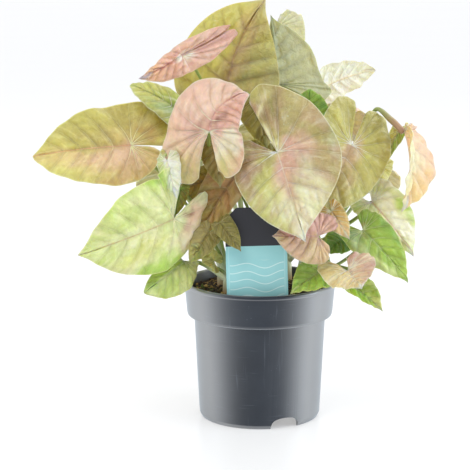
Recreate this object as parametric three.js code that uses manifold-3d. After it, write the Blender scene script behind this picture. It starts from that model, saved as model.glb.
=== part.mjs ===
// Arrowhead plant in its nursery pot. Millimetres, +Z up.
// The origin is the middle of the pot's foot, on the surface that the pot stands on.
// -Y is the front, where the plant label stands.
import * as THREE from 'three';
import { mergeVertices } from 'three/addons/utils/BufferGeometryUtils.js';
import Module from 'manifold-3d';

const wasm = await Module();
wasm.setup();

// ---- driving dimensions ----
const CLEARANCE = 0.3; // left between pieces that touch

const POT_HEIGHT = 109;
const RIM_RADIUS = 60;
const RIM_BAND = 27; // height of the rim band
const WALL_RADIUS = 52; // outside, just under the rim band
const BASE_RADIUS = 48;
const FOOT_INNER = 44.6; // inside of the foot ring
const FLOOR_BOTTOM = 7; // the floor stands off the ground
const FLOOR_TOP = 8.2;
const PAD_RADIUS = 16; // but for its middle, which rests flat on it
const PAD_TOP = 1.4;
const WALL = 1.3;
const POT_SEGMENTS = 48;
const DRAINS = 3; // arched notches through the foot ring
const DRAIN_WIDTH = 23;
const DRAIN_HEIGHT = 8.6;
const DRAIN_START = 25; // degrees from the front to the first notch's middle
const DRAIN_SPRING = 0.35; // share of a notch's height where its arch springs
const DRAIN_INSIDE = 4; // the notch runs this far in under the floor
const CUT = 1; // a cutter reaches this far past the faces it cuts

const SOIL_EDGE = 100.5; // height of the soil at the pot's wall
const SOIL_MOUND = 4; // the middle stands this much higher
const SOIL_LUMP = 1.1; // height of the largest lumps
const SOIL_RADIUS = RIM_RADIUS - 3.8; // at the top, inside the rim band
const SOIL_GAP = CLEARANCE + 0.1; // to the pot's wall
const SOIL_RINGS = 7;
const SOIL_SEGMENTS = 36;

const LABEL_WIDTH = 47;
const LABEL_TOP = 175;
const LABEL_SHOULDER = 102; // under this height the sides run in to the spike
const LABEL_FOOT = 74;
const LABEL_CORNER = 9; // cut off each top corner
const LABEL_SPIKE = 7; // half width at the foot
const LABEL_THICK = 0.7;
const LABEL_PLACE = [-1.7, -46, POT_HEIGHT];
const LABEL_LEAN = 2; // degrees back
const LABEL_TURN = 1.7; // degrees in its own plane

const CROWN_FOOT = 88; // a shoot's stub reaches down to here in the soil
const CROWN_RADIUS = 4;
const CROWN_SIDES = 8;

const BLADE = 0.8; // thickness of a leaf blade

const STALK_WIDE = 1.3; // radius of a leaf stalk at the blade, for a blade
const STALK_WIDE_HALF = 20; // with a half wider than this,
const STALK_THIN = 1; // and for the others
const STALK_FLARE = 1.5; // a stalk is this much thicker at its foot
const STALK_SINK = 6; // it starts this far under the top of its shoot,
const STALK_LEAN = 0.25; // leans by this much of the way it has to go,
const STALK_RISE = 0.4; // rises for about this share of its span
const STALK_BEND = 0.3; // and bends over in this share,
const STALK_ARRIVE = { under: 0.5, behind: 0.4, below: 0.8 }; // coming up to the joint from here
const STALK_SIDES = 5;
const STALK_STEPS = 8;

// ---- leaf blade ----
// Half of the flat outline from the tip round the margin to the sinus, as
// [across, along], with the midrib one unit long and the leaf stalk's joint at 0, 0.
const OUTLINE = [
  [0, 1], [0.05, 0.915], [0.15, 0.81], [0.275, 0.65], [0.375, 0.45], [0.425, 0.22],
  [0.43, -0.02], [0.41, -0.23], [0.335, -0.41], [0.215, -0.47], [0.12, -0.4],
];
const OUTLINE_HALF = 0.43;
const OUTLINE_LOBE = 0.47;
const FEATHERED = 0.5; // share of the margin that is fed by side veins of the midrib
const LOBE_START = 0.5; // share of the margin where the lobe begins
const LOBE_SLIM = 0.75; // from here on a slim lobe is at its slimmest
const LOBE_SWUNG = 0.8; // and from here on a splayed one has swung all the way
const VEIN_SWEEP = 1.25; // side veins leave straight and sweep forward by this power
const RIPPLES = 16; // radians of wave along half the margin
const margin = new THREE.SplineCurve(OUTLINE.map(([across, along]) => new THREE.Vector2(across, along)));

// One leaf: base is where its stalk joins the blade and tip is its point. face is the
// way its upper side looks: degrees round from the front towards +X, and degrees up.
// Pairs are for the two halves, first the one on the right with the tip away from you
// and the upper side up.
// half: widest half width. lobe: reach of the basal lobe behind the joint.
// splay: degrees that the lobe swings out. slim: share by which the lobe is slimmer,
// full: share by which the half is rounder towards the tip, than drawn above.
// arch: degrees of droop from joint to tip. lift: degrees that the lobes rise.
// fold: degrees up from the midrib. curl: degrees that the margin rolls up.
// sway: degrees that the midrib turns sideways from joint to tip.
// twist: degrees that the tip turns about the midrib. wave: height of the margin's waves.
// rows, columns: how finely the blade is drawn. via: points that its stalk goes through.
const leafDefaults = {
  half: [20, 20], lobe: [20, 20], splay: [0, 0], slim: [0, 0], full: [0, 0], arch: 25, lift: 0,
  fold: [12, 12], curl: [-20, -20], sway: 0, twist: 0, wave: 1, rows: 5, columns: 3, via: null,
};
const shoots = {
  shoot_left: { at: [-30, 6], top: 122 },
  shoot_front_left: { at: [-25, -24], top: 120 },
  shoot_front: { at: [6, -18], top: 122 },
  shoot_right: { at: [31, -10], top: 120 },
  shoot_back_left: { at: [-12, 30], top: 124 },
  shoot_back_right: { at: [22, 26], top: 124 },
};
const leaves = {
  leaf_left_broad: {
    shoot: 'shoot_left', base: [-99, -22, 219], tip: [-173, -40, 213], face: [0, 32],
    half: [33, 32], lobe: [31, 19], splay: [-21, -7], slim: [-0.3, 0.33], full: [0.15, 0.48], arch: 20,
    curl: [-10, -25], wave: 2,
    via: [[-52, 12, 165], [-84, 4, 200]],
  },
  leaf_left_folded: {
    shoot: 'shoot_left', base: [-62, -2, 242], tip: [-102, 6, 262], face: [-10, 40],
    half: [11, 15], lobe: [9, 10], full: [0.4, 0.3], arch: 60, fold: [20, 20], rows: 4, columns: 2,
  },
  leaf_top_pink: {
    shoot: 'shoot_back_left', base: [-60, -22, 289], tip: [-92, -36, 272], face: [29, -4],
    half: [8, 14], lobe: [60, 58], splay: [-13, 2], slim: [-0.3, -0.3], full: [-0.2, 0.17],
    arch: 25, lift: 20, fold: [20, 22], via: [[-24, 32, 180], [-40, 20, 250], [-52, 0, 278]],
  },
  leaf_top_broad: {
    shoot: 'shoot_back_left', base: [-27, 36, 246], tip: [4, 24, 328], face: [-4, 8],
    half: [42, 44], lobe: [6, 30], splay: [30, 7], slim: [-0.05, 0.29], full: [0.12, 0.22], arch: 25, sway: -34,
    wave: 1.5,
  },
  leaf_front_pink: {
    shoot: 'shoot_left', base: [-38, -60, 235], tip: [-8, -54, 262], face: [-5, 25],
    half: [23, 32], lobe: [34, 39], splay: [8, -2], slim: [-0.2, -0.19], full: [0.4, -0.2], sway: -80, arch: 35,
    via: [[-33, 4, 165], [-38, -8, 202], [-39, -42, 224]],
  },
  leaf_front_broad: {
    shoot: 'shoot_front', base: [13, -56, 219], tip: [34, -78, 155], face: [0, 12],
    half: [37, 46], lobe: [26, 56], splay: [30, -24], slim: [0.24, 0.1], full: [0.14, -0.33], arch: 20, wave: 2,
  },
  leaf_right_broad: {
    shoot: 'shoot_right', base: [71, -10, 218], tip: [41, -38, 164], face: [15, 20],
    half: [30, 31], lobe: [42, 40], splay: [2, -14], arch: 30, wave: 1.5,
  },
  leaf_right_lobe: {
    shoot: 'shoot_right', base: [109, 12, 227], tip: [95, 22, 201], face: [0, -10],
    half: [6, 6], lobe: [5, 5], arch: 60, rows: 4, columns: 2,
    via: [[78, 12, 172], [108, 24, 214]],
  },
  leaf_right_rear: {
    shoot: 'shoot_right', base: [94, 32, 195], tip: [82, 20, 173], face: [10, 20],
    half: [12, 12], lobe: [12, 12], rows: 4, columns: 2,
    via: [[60, 20, 150], [84, 34, 182]],
  },
  leaf_right_peach: {
    shoot: 'shoot_back_right', base: [112, -10, 229], tip: [109, -24, 168], face: [80, 5],
    half: [16, 30], lobe: [5, 6], arch: 40, fold: [30, 25], twist: -45,
    via: [[80, 12, 190], [91, 32, 240], [102, 4, 236]],
  },
  leaf_top_rear: {
    shoot: 'shoot_back_right', base: [10, 70, 301], tip: [14, 110, 244], face: [180, 30],
    half: [26, 26], lobe: [28, 28], arch: 30,
  },
  leaf_rear_right: {
    shoot: 'shoot_back_right', base: [50, 60, 255], tip: [94, 74, 268], face: [185, 30],
    half: [18, 20], lobe: [14, 14], full: [0.4, 0.4], arch: 30,
  },
  leaf_top_grey: {
    shoot: 'shoot_back_right', base: [14, 37, 260], tip: [8, 43, 315], face: [165, 10],
    half: [8, 34], lobe: [8, 23], splay: [0, 14], slim: [0, -0.3], full: [0, -0.12], arch: 25, fold: [12, 18],
    curl: [-20, 15],
  },
  leaf_inner_green: {
    shoot: 'shoot_back_right', base: [37, 2, 231], tip: [39, 14, 259], face: [-10, 40],
    half: [18, 18], lobe: [12, 12], full: [0.3, 0.3], rows: 4, columns: 2,
  },
  leaf_inner_dark: {
    shoot: 'shoot_front', base: [8, -22, 207], tip: [-14, -16, 222], face: [0, 20],
    half: [12, 14], lobe: [12, 12], rows: 4, columns: 2,
  },
  leaf_low_left: {
    shoot: 'shoot_front_left', base: [-65, -56, 168], tip: [-135, -86, 146], face: [-10, -10],
    half: [37, 39], lobe: [39, 35], splay: [46, -29], slim: [-0.06, 0.49], full: [0.12, 0.13],
    arch: 25, wave: 2, fold: [14, -4],
  },
  leaf_low_left_small: {
    shoot: 'shoot_front_left', base: [-58, -32, 130], tip: [-88, -58, 111], face: [-14, 3],
    via: [[-46, -14, 125]],
    half: [11, 21], lobe: [8, 12], splay: [54, -8], slim: [0, 0.34], full: [0.44, 0.4], arch: 30,
    fold: [-16, -17],
  },
  leaf_inner_amber: {
    shoot: 'shoot_front', base: [-20, -22, 195], tip: [-49, -34, 148], face: [-10, 10],
    half: [19, 14], lobe: [12, 6], full: [0.3, 0.3], fold: [15, 20], rows: 4, columns: 2,
  },
  leaf_inner_tag: {
    shoot: 'shoot_front_left', base: [-30, -49, 164], tip: [-14, -57, 143], face: [0, 20],
    half: [8, 9], lobe: [3, 3], fold: [20, 20], rows: 4, columns: 2,
  },
  leaf_low_rose: {
    shoot: 'shoot_right', base: [44, -62, 156], tip: [9, -66, 157], face: [0, 15],
    half: [18, 21], lobe: [16, 9], rows: 4, columns: 2,
  },
  leaf_low_orange: {
    shoot: 'shoot_right', base: [54, -48, 173], tip: [68, -54, 152], face: [0, 15],
    half: [9, 9], lobe: [8, 8], rows: 4, columns: 2,
  },
  leaf_low_dark: {
    shoot: 'shoot_right', base: [64, -22, 147], tip: [49, -38, 138], face: [0, 20],
    half: [11, 11], lobe: [8, 8], rows: 4, columns: 2,
  },
  leaf_low_right: {
    shoot: 'shoot_right', base: [79, -34, 155], tip: [113, -51, 118], face: [10, 30],
    half: [18, 19], lobe: [14, 14], arch: 35,
    via: [[60, -14, 124], [79, -27, 144]],
  },
  leaf_right_cream: {
    shoot: 'shoot_right', base: [87, -8, 173], tip: [119, -25, 133], face: [15, 25],
    half: [17, 24], lobe: [12, 16], arch: 30,
  },
  leaf_low_olive: {
    shoot: 'shoot_right', base: [66, -68, 131], tip: [76, -82, 120], face: [5, 28],
    half: [19, 22], lobe: [28, 14], rows: 4, columns: 2,
    via: [[50, -18, 124], [70, -42, 126]],
  },
  leaf_low_bud: {
    shoot: 'shoot_right', base: [70, -30, 112], tip: [95, -40, 93], face: [10, 30],
    half: [6, 14], lobe: [8, 8], rows: 4, columns: 2,
  },
  leaf_rim_green: {
    shoot: 'shoot_right', base: [52, -40, 127], tip: [23, -64, 112], face: [0, 45],
    half: [16, 16], lobe: [10, 10], rows: 4, columns: 2,
  },
  leaf_left_curl: {
    shoot: 'shoot_left', base: [-66, -34, 219], tip: [-78, -42, 212], face: [0, 30],
    half: [5, 5], lobe: [4, 4], rows: 4, columns: 2,
    via: [[-50, -4, 175], [-70, -20, 210]],
  },
  leaf_inner_olive: {
    shoot: 'shoot_left', base: [-34, -10, 195], tip: [-67, -20, 183], face: [0, -20],
    half: [13, 23], lobe: [8, 12], splay: [0, 15], rows: 4, columns: 2,
  },
  leaf_inner_low: {
    shoot: 'shoot_front_left', base: [-35, -40, 132], tip: [-53, -50, 148], face: [0, 40],
    half: [8, 8], lobe: [8, 8], rows: 4, columns: 2,
  },
  leaf_back_upper: {
    shoot: 'shoot_back_left', base: [-24, 92, 216], tip: [-40, 142, 172], face: [190, 45],
    half: [30, 30], lobe: [22, 22], wave: 2,
  },
  leaf_back_left: {
    shoot: 'shoot_back_left', base: [-66, 70, 188], tip: [-102, 106, 156], face: [220, 45],
    half: [26, 26], lobe: [22, 22],
  },
  leaf_back_right: {
    shoot: 'shoot_back_right', base: [82, 66, 192], tip: [110, 108, 154], face: [140, 45],
    half: [28, 28], lobe: [22, 22],
  },
  leaf_back_middle: {
    shoot: 'shoot_back_right', base: [22, 86, 182], tip: [32, 136, 140], face: [170, 45],
    half: [28, 28], lobe: [26, 26], wave: 2,
  },
  leaf_back_low_left: {
    shoot: 'shoot_back_left', base: [-44, 66, 146], tip: [-68, 100, 112], face: [210, 45],
    half: [20, 20], lobe: [18, 18], rows: 4, columns: 2,
  },
  leaf_back_low_right: {
    shoot: 'shoot_back_right', base: [62, 56, 140], tip: [92, 84, 108], face: [130, 45],
    half: [20, 20], lobe: [18, 18], rows: 4, columns: 2,
  },
  leaf_back_side: {
    shoot: 'shoot_left', base: [-86, 34, 172], tip: [-122, 56, 142], face: [250, 50],
    half: [22, 22], lobe: [20, 20], rows: 4, columns: 2,
  },
  leaf_back_high_right: {
    shoot: 'shoot_back_right', base: [56, 84, 232], tip: [88, 124, 196], face: [150, 45],
    half: [28, 28], lobe: [20, 20], wave: 2,
  },
  leaf_back_high_left: {
    shoot: 'shoot_back_left', base: [-74, 74, 238], tip: [-114, 104, 210], face: [215, 45],
    half: [25, 25], lobe: [22, 22], via: [[-22, 46, 165], [-58, 70, 220]],
  },
  leaf_back_rim: {
    shoot: 'shoot_back_left', base: [-6, 72, 132], tip: [-14, 104, 102], face: [180, 45],
    half: [18, 18], lobe: [16, 16], rows: 4, columns: 2,
  },
};

const radians = THREE.MathUtils.degToRad;
const vector = (values) => new THREE.Vector3(...values);
const smooth = THREE.MathUtils.smoothstep;
const sinc = (angle) => (Math.abs(angle) < 1e-6 ? 1 : Math.sin(angle) / angle);

// The blade's own axes: y along the chord from joint to tip, z out of its upper side.
function bladeFrame(leaf) {
  const base = vector(leaf.base);
  const chord = vector(leaf.tip).sub(base);
  const y = chord.clone().normalize();
  const [round, up] = leaf.face.map(radians);
  const looks = vector([Math.sin(round) * Math.cos(up), -Math.cos(round) * Math.cos(up), Math.sin(up)]);
  const z = looks.addScaledVector(y, -looks.dot(y)).normalize();
  const x = y.clone().cross(z);
  return { base, x, y, z, chord: chord.length() };
}

// A point on an arc that leaves at an angle to the chord and turns back by bend a millimetre.
function arcPoint(angle, bend, distance) {
  if (Math.abs(bend) < 1e-7) return { along: distance * Math.cos(angle), aside: distance * Math.sin(angle) };
  const end = angle - bend * distance;
  return { along: (Math.sin(angle) - Math.sin(end)) / bend, aside: (Math.cos(end) - Math.cos(angle)) / bend };
}

// A point of half the flat outline, t of the way round from the tip to the sinus.
function marginPoint(leaf, side, t, length) {
  const edge = margin.getPoint(t);
  const roundness = 1 - leaf.full[side] * smooth(edge.y, 0.1, 0.5);
  const slimness = 1 - leaf.slim[side] * smooth(t, LOBE_START, LOBE_SLIM);
  const across = (edge.x / OUTLINE_HALF) ** roundness * leaf.half[side] * slimness;
  const along = edge.y > 0 ? edge.y * length : edge.y / OUTLINE_LOBE * leaf.lobe[side];
  const swing = radians(leaf.splay[side]) * smooth(t, LOBE_START, LOBE_SWUNG);
  return [
    across * Math.cos(swing) - along * Math.sin(swing),
    across * Math.sin(swing) + along * Math.cos(swing),
  ];
}

// Where a point of the blade lies. side is 0 or 1, t runs round the margin from the tip
// to the sinus, and v from the midrib or the joint out to the margin.
function bladePoint(leaf, frame, side, t, v) {
  const arch = radians(leaf.arch);
  const sway = radians(leaf.sway);
  const length = frame.chord / sinc(arch / 2) / sinc(sway / 2);
  const [across, along] = marginPoint(leaf, side, t, length);
  const start = length * Math.max(0, 1 - t / FEATHERED);
  const w = across * v;
  const s = start + (along - start) * v ** VEIN_SWEEP;
  const ahead = Math.max(0, s);
  const behind = Math.min(0, s);

  // Across it the half blade rises by fold, rolls by curl and waves at its margin.
  const reach = Math.min(1, Math.abs(w) / leaf.half[side]);
  const turned = radians(leaf.twist) * Math.min(1, ahead / length);
  const slope = radians(leaf.fold[side]) + (side ? -turned : turned) + radians(leaf.curl[side]) * reach / 2;
  const out = (side ? -w : w) * Math.cos(slope);
  const ripple = Math.sin(t * RIPPLES + side * 2 + leaf.base[0]) * Math.sin(t * Math.PI);
  const rise = w * Math.sin(slope) + leaf.wave * reach ** 2 * ripple;

  // In the flat the midrib is an arc of the angle sway.
  const heading = sway / 2 - (sway / length) * ahead;
  const middle = arcPoint(sway / 2, sway / length, ahead);
  const level = middle.along + behind * Math.cos(heading) - out * Math.sin(heading);
  const aside = middle.aside + behind * Math.sin(heading) + out * Math.cos(heading);

  // Out of the flat it is an arc of the angle arch, which goes on behind the joint, bent up by lift.
  const droop = arch * sinc(arch / 2) / frame.chord;
  const bend = level > 0 ? droop : droop - radians(leaf.lift) / leaf.lobe[side];
  const bow = arcPoint(arch / 2, bend, level);
  const turn = arch / 2 - bend * level;
  return frame.base.clone()
    .addScaledVector(frame.x, aside)
    .addScaledVector(frame.y, bow.along - Math.sin(turn) * rise)
    .addScaledVector(frame.z, bow.aside + Math.cos(turn) * rise);
}

// The blade as a closed solid: its middle surface, split alike on both faces, moved
// out by half the thickness either way and closed round the margin.
function bladeGeometry(leaf) {
  const frame = bladeFrame(leaf);
  const { rows, columns } = leaf;
  const points = [];
  const addPoint = (side, t, v) => points.push(bladePoint(leaf, frame, side, t, v)) - 1;
  const rowAt = (row) => (row <= rows
    ? FEATHERED * row / rows
    : FEATHERED + (1 - FEATHERED) * (row - rows) / rows);
  const midrib = [];
  for (let row = 0; row <= rows; row += 1) midrib.push(addPoint(0, rowAt(row), 0));
  const grid = [0, 1].map((side) => {
    const lines = [];
    for (let row = 0; row <= 2 * rows; row += 1) {
      const line = [midrib[Math.min(row, rows)]];
      for (let column = 1; column <= columns; column += 1) {
        line.push(row === 0 ? midrib[0] : addPoint(side, rowAt(row), column / columns));
      }
      lines.push(line);
    }
    return lines;
  });

  const faces = [];
  const addFace = (a, b, c) => {
    if (a !== b && b !== c && c !== a) faces.push([a, b, c]);
  };
  grid.forEach((lines, side) => {
    for (let row = 0; row < 2 * rows; row += 1) {
      for (let column = 0; column < columns; column += 1) {
        const [a, d] = [lines[row][column], lines[row][column + 1]];
        const [b, c] = [lines[row + 1][column], lines[row + 1][column + 1]];
        if (side === 0) {
          addFace(a, b, c);
          addFace(a, c, d);
        } else {
          addFace(a, c, b);
          addFace(a, d, c);
        }
      }
    }
  });

  const rim = [midrib[rows]];
  for (let column = 1; column < columns; column += 1) rim.push(grid[0][2 * rows][column]);
  for (let row = 2 * rows; row > 0; row -= 1) rim.push(grid[0][row][columns]);
  rim.push(midrib[0]);
  for (let row = 1; row <= 2 * rows; row += 1) rim.push(grid[1][row][columns]);
  for (let column = columns - 1; column > 0; column -= 1) rim.push(grid[1][2 * rows][column]);
  return thicken(points, faces, rim, BLADE);
}

// A sheet of faces, given thickness and closed round its rim.
function thicken(points, faces, rim, thickness) {
  const sheet = new THREE.BufferGeometry().setFromPoints(points);
  sheet.setIndex(faces.flat());
  sheet.computeVertexNormals();
  const normals = sheet.getAttribute('normal');
  const offset = (distance) => points.map((point, index) => (
    point.clone().addScaledVector(new THREE.Vector3().fromBufferAttribute(normals, index), distance)));
  const under = points.length;
  const triangles = [];
  faces.forEach(([a, b, c]) => triangles.push(a, b, c, under + a, under + c, under + b));
  rim.forEach((a, index) => {
    const b = rim[(index + 1) % rim.length];
    triangles.push(a, under + a, under + b, a, under + b, b);
  });
  const faceToFace = [...offset(thickness / 2), ...offset(-thickness / 2)];
  const solid = new THREE.BufferGeometry().setFromPoints(faceToFace);
  solid.setIndex(triangles);
  return solid;
}

// ---- stalks and shoots ----
// A leaf stalk rises from its shoot, leans over and ends close under the blade's joint.
function stalkCurve(leaf) {
  const frame = bladeFrame(leaf);
  const shoot = shoots[leaf.shoot];
  const start = vector([...shoot.at, shoot.top - STALK_SINK]);
  const knots = (leaf.via ?? []).map(vector);
  const slope = radians(leaf.arch) / 2; // of the midrib where it leaves the joint
  const ahead = frame.y.clone().multiplyScalar(Math.cos(slope)).addScaledVector(frame.z, Math.sin(slope));
  const above = frame.z.clone().multiplyScalar(Math.cos(slope)).addScaledVector(frame.y, -Math.sin(slope));
  const down = new THREE.Vector3(0, 0, -STALK_ARRIVE.below)
    .addScaledVector(above, -STALK_ARRIVE.under)
    .addScaledVector(ahead, -STALK_ARRIVE.behind);
  const arrive = (leaf.via ? knots[knots.length - 1].clone().sub(frame.base) : down).normalize();
  const edge = leaf.stalk * Math.sqrt(1 - arrive.dot(above) ** 2); // how far the end's rim stands up
  const end = frame.base.clone()
    .addScaledVector(above, -(BLADE / 2 + CLEARANCE + edge))
    .addScaledVector(ahead, -leaf.stalk / 2);
  if (leaf.via) return new THREE.CatmullRomCurve3([start, ...knots, end]);
  const span = start.distanceTo(end);
  const rise = end.clone().sub(start).setZ(0).multiplyScalar(STALK_LEAN / span).setZ(1).normalize();
  knots.push(start.clone().addScaledVector(rise, span * STALK_RISE));
  knots.push(end.clone().addScaledVector(arrive, span * STALK_BEND));
  return new THREE.CubicBezierCurve3(start, ...knots, end);
}

// A closed tube along a curve, from one radius to another.
function taperedTube(curve, from, to, sides, steps) {
  const frames = curve.computeFrenetFrames(steps, false);
  const points = [];
  const triangles = [];
  for (let step = 0; step <= steps; step += 1) {
    const centre = curve.getPointAt(step / steps);
    const radius = THREE.MathUtils.lerp(from, to, step / steps);
    for (let side = 0; side < sides; side += 1) {
      const angle = 2 * Math.PI * side / sides;
      points.push(centre.clone()
        .addScaledVector(frames.normals[step], radius * Math.cos(angle))
        .addScaledVector(frames.binormals[step], radius * Math.sin(angle)));
    }
  }
  for (let step = 0; step < steps; step += 1) {
    for (let side = 0; side < sides; side += 1) {
      const next = (side + 1) % sides;
      const [a, b] = [step * sides + side, step * sides + next];
      triangles.push(a, b, b + sides, a, b + sides, a + sides);
    }
  }
  for (let side = 1; side < sides - 1; side += 1) {
    const last = steps * sides;
    triangles.push(0, side + 1, side, last, last + side, last + side + 1);
  }
  const tube = new THREE.BufferGeometry().setFromPoints(points);
  tube.setIndex(triangles);
  return tube;
}

// ---- solids ----
function solidOf(geometry) {
  const bare = geometry.clone();
  bare.deleteAttribute('normal');
  bare.deleteAttribute('uv');
  const merged = mergeVertices(bare, 1e-4);
  return new wasm.Manifold(new wasm.Mesh({
    numProp: 3,
    vertProperties: new Float32Array(merged.getAttribute('position').array),
    triVerts: new Uint32Array(merged.getIndex().array),
  }));
}

function geometryOf(solid) {
  const { vertProperties, triVerts, numProp } = solid.getMesh();
  const positions = [];
  triVerts.forEach((vertex) => {
    const first = numProp * vertex;
    positions.push(...vertProperties.subarray(first, first + 3));
  });
  return new THREE.BufferGeometry().setAttribute('position', new THREE.Float32BufferAttribute(positions, 3));
}

const flat = (points) => points.map(([x, y]) => new THREE.Vector2(x, y));
const lathe = (profile, segments) => new THREE.LatheGeometry(flat(profile), segments).rotateX(Math.PI / 2);

// ---- pot ----
// Profiles as [radius, height]: up the outside, down the inside and back under the floor.
const BAND_BOTTOM = POT_HEIGHT - RIM_BAND;
const potOutside = [
  [BASE_RADIUS - 1.5, 0], [BASE_RADIUS, 3], [WALL_RADIUS, BAND_BOTTOM + 0.6], [RIM_RADIUS - 4, BAND_BOTTOM],
  [RIM_RADIUS - 2.9, BAND_BOTTOM + 0.6], [RIM_RADIUS - 2.4, BAND_BOTTOM + 2.5],
  [RIM_RADIUS - 0.5, POT_HEIGHT - 3.5], [RIM_RADIUS, POT_HEIGHT - 2.6], [RIM_RADIUS, POT_HEIGHT - 1],
  [RIM_RADIUS - 0.7, POT_HEIGHT],
];
const potLip = [[RIM_RADIUS - 2.2, POT_HEIGHT], [RIM_RADIUS - 2.9, POT_HEIGHT - 1]];
const potInside = [
  [RIM_RADIUS - 4.1, BAND_BOTTOM + 2.2], [WALL_RADIUS - 0.4, BAND_BOTTOM + 1.8],
  [WALL_RADIUS - WALL, BAND_BOTTOM - 0.4],
];
const potFloor = [[BASE_RADIUS - WALL, FLOOR_TOP], [PAD_RADIUS, FLOOR_TOP], [PAD_RADIUS - 1, PAD_TOP]];
const potUnderside = [
  [0, PAD_TOP], [0, 0], [PAD_RADIUS, 0], [PAD_RADIUS + 0.6, FLOOR_BOTTOM], [FOOT_INNER, FLOOR_BOTTOM],
  [FOOT_INNER + 0.5, 0],
];

// A block with an arched top that lies along -Y and cuts one notch through the foot ring.
function drainCutter() {
  const half = DRAIN_WIDTH / 2;
  const spring = DRAIN_HEIGHT * DRAIN_SPRING;
  const arch = new THREE.Shape();
  arch.moveTo(-half, -CUT);
  arch.lineTo(half, -CUT);
  arch.lineTo(half, spring);
  arch.quadraticCurveTo(half - 1, DRAIN_HEIGHT, 0, DRAIN_HEIGHT);
  arch.quadraticCurveTo(1 - half, DRAIN_HEIGHT, -half, spring);
  const cutter = new THREE.ExtrudeGeometry(arch, {
    depth: BASE_RADIUS - FOOT_INNER + DRAIN_INSIDE + 2 * CUT,
    bevelEnabled: false,
    curveSegments: 3,
  });
  cutter.rotateX(Math.PI / 2);
  return cutter.translate(0, DRAIN_INSIDE - FOOT_INNER, 0);
}

function potGeometry() {
  const outline = [...potOutside, ...potLip, ...potInside, ...potFloor, ...potUnderside, potOutside[0]];
  let pot = solidOf(lathe(outline, POT_SEGMENTS));
  for (let drain = 0; drain < DRAINS; drain += 1) {
    const angle = radians(DRAIN_START + drain * 360 / DRAINS);
    pot = pot.subtract(solidOf(drainCutter().rotateZ(angle)));
  }
  return geometryOf(pot);
}

// ---- soil ----
// A low mound, lumpy but level where it meets the pot.
function soilHeight(x, y) {
  const share = Math.hypot(x, y) / SOIL_RADIUS;
  const lumps = Math.sin(x * 0.61 + 1.3) * Math.cos(y * 0.53) + 0.7 * Math.sin(x * 0.27 - y * 0.34);
  return SOIL_EDGE + SOIL_MOUND * (1 - share ** 2) + SOIL_LUMP * lumps * (1 - share ** 4);
}

function soilBlock() {
  const points = [];
  const triangles = [];
  const rings = [];
  const addRing = (radius, heightAt) => {
    const ring = [];
    for (let step = 0; step < SOIL_SEGMENTS; step += 1) {
      const angle = 2 * Math.PI * step / SOIL_SEGMENTS;
      const [x, y] = [radius * Math.sin(angle), radius * Math.cos(angle)];
      ring.push(points.push(new THREE.Vector3(x, y, heightAt(x, y))) - 1);
    }
    rings.push(ring);
  };
  for (let ring = 1; ring <= SOIL_RINGS; ring += 1) addRing(SOIL_RADIUS * ring / SOIL_RINGS, soilHeight);
  potInside.forEach(([radius, height]) => addRing(radius - SOIL_GAP, () => height));
  potFloor.forEach(([radius, height]) => addRing(radius - SOIL_GAP, () => height + SOIL_GAP));
  const top = points.push(new THREE.Vector3(0, 0, soilHeight(0, 0))) - 1;
  const bottom = points.push(new THREE.Vector3(0, 0, PAD_TOP + SOIL_GAP)) - 1;
  const last = rings[rings.length - 1];
  for (let step = 0; step < SOIL_SEGMENTS; step += 1) {
    const next = (step + 1) % SOIL_SEGMENTS;
    triangles.push(top, rings[0][next], rings[0][step]);
    for (let ring = 0; ring < rings.length - 1; ring += 1) {
      const [inner, outer] = [rings[ring], rings[ring + 1]];
      triangles.push(inner[step], inner[next], outer[next], inner[step], outer[next], outer[step]);
    }
    triangles.push(bottom, last[step], last[next]);
  }
  const block = new THREE.BufferGeometry().setFromPoints(points);
  block.setIndex(triangles);
  return solidOf(block);
}

function soilGeometry() {
  let soil = soilBlock().subtract(solidOf(labelGeometry(CLEARANCE)));
  Object.values(shoots).forEach(({ at }) => {
    const bottom = CROWN_FOOT - CLEARANCE;
    const radius = CROWN_RADIUS + CLEARANCE;
    const hole = new THREE.CylinderGeometry(radius, radius, POT_HEIGHT - bottom, CROWN_SIDES);
    hole.rotateX(Math.PI / 2);
    hole.translate(at[0], at[1], (POT_HEIGHT + bottom) / 2);
    soil = soil.subtract(solidOf(hole));
  });
  return geometryOf(soil);
}

// ---- label ----
// A push-in card with cut top corners that runs in to a spike, made larger all round by grow.
function labelGeometry(grow) {
  const half = LABEL_WIDTH / 2 + grow;
  const top = LABEL_TOP - POT_HEIGHT + grow;
  const shoulder = LABEL_SHOULDER - POT_HEIGHT;
  const foot = LABEL_FOOT - POT_HEIGHT - grow;
  const spike = LABEL_SPIKE + grow;
  const outline = new THREE.Shape(flat([
    [-spike, foot], [spike, foot], [half, shoulder], [half, top - LABEL_CORNER],
    [half - LABEL_CORNER, top], [LABEL_CORNER - half, top], [-half, top - LABEL_CORNER], [-half, shoulder],
  ]));
  const depth = LABEL_THICK + 2 * grow;
  const card = new THREE.ExtrudeGeometry(outline, { depth, bevelEnabled: false });
  card.translate(0, 0, -depth / 2);
  card.rotateZ(radians(LABEL_TURN));
  card.rotateX(Math.PI / 2 - radians(LABEL_LEAN));
  return card.translate(...LABEL_PLACE);
}

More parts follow.
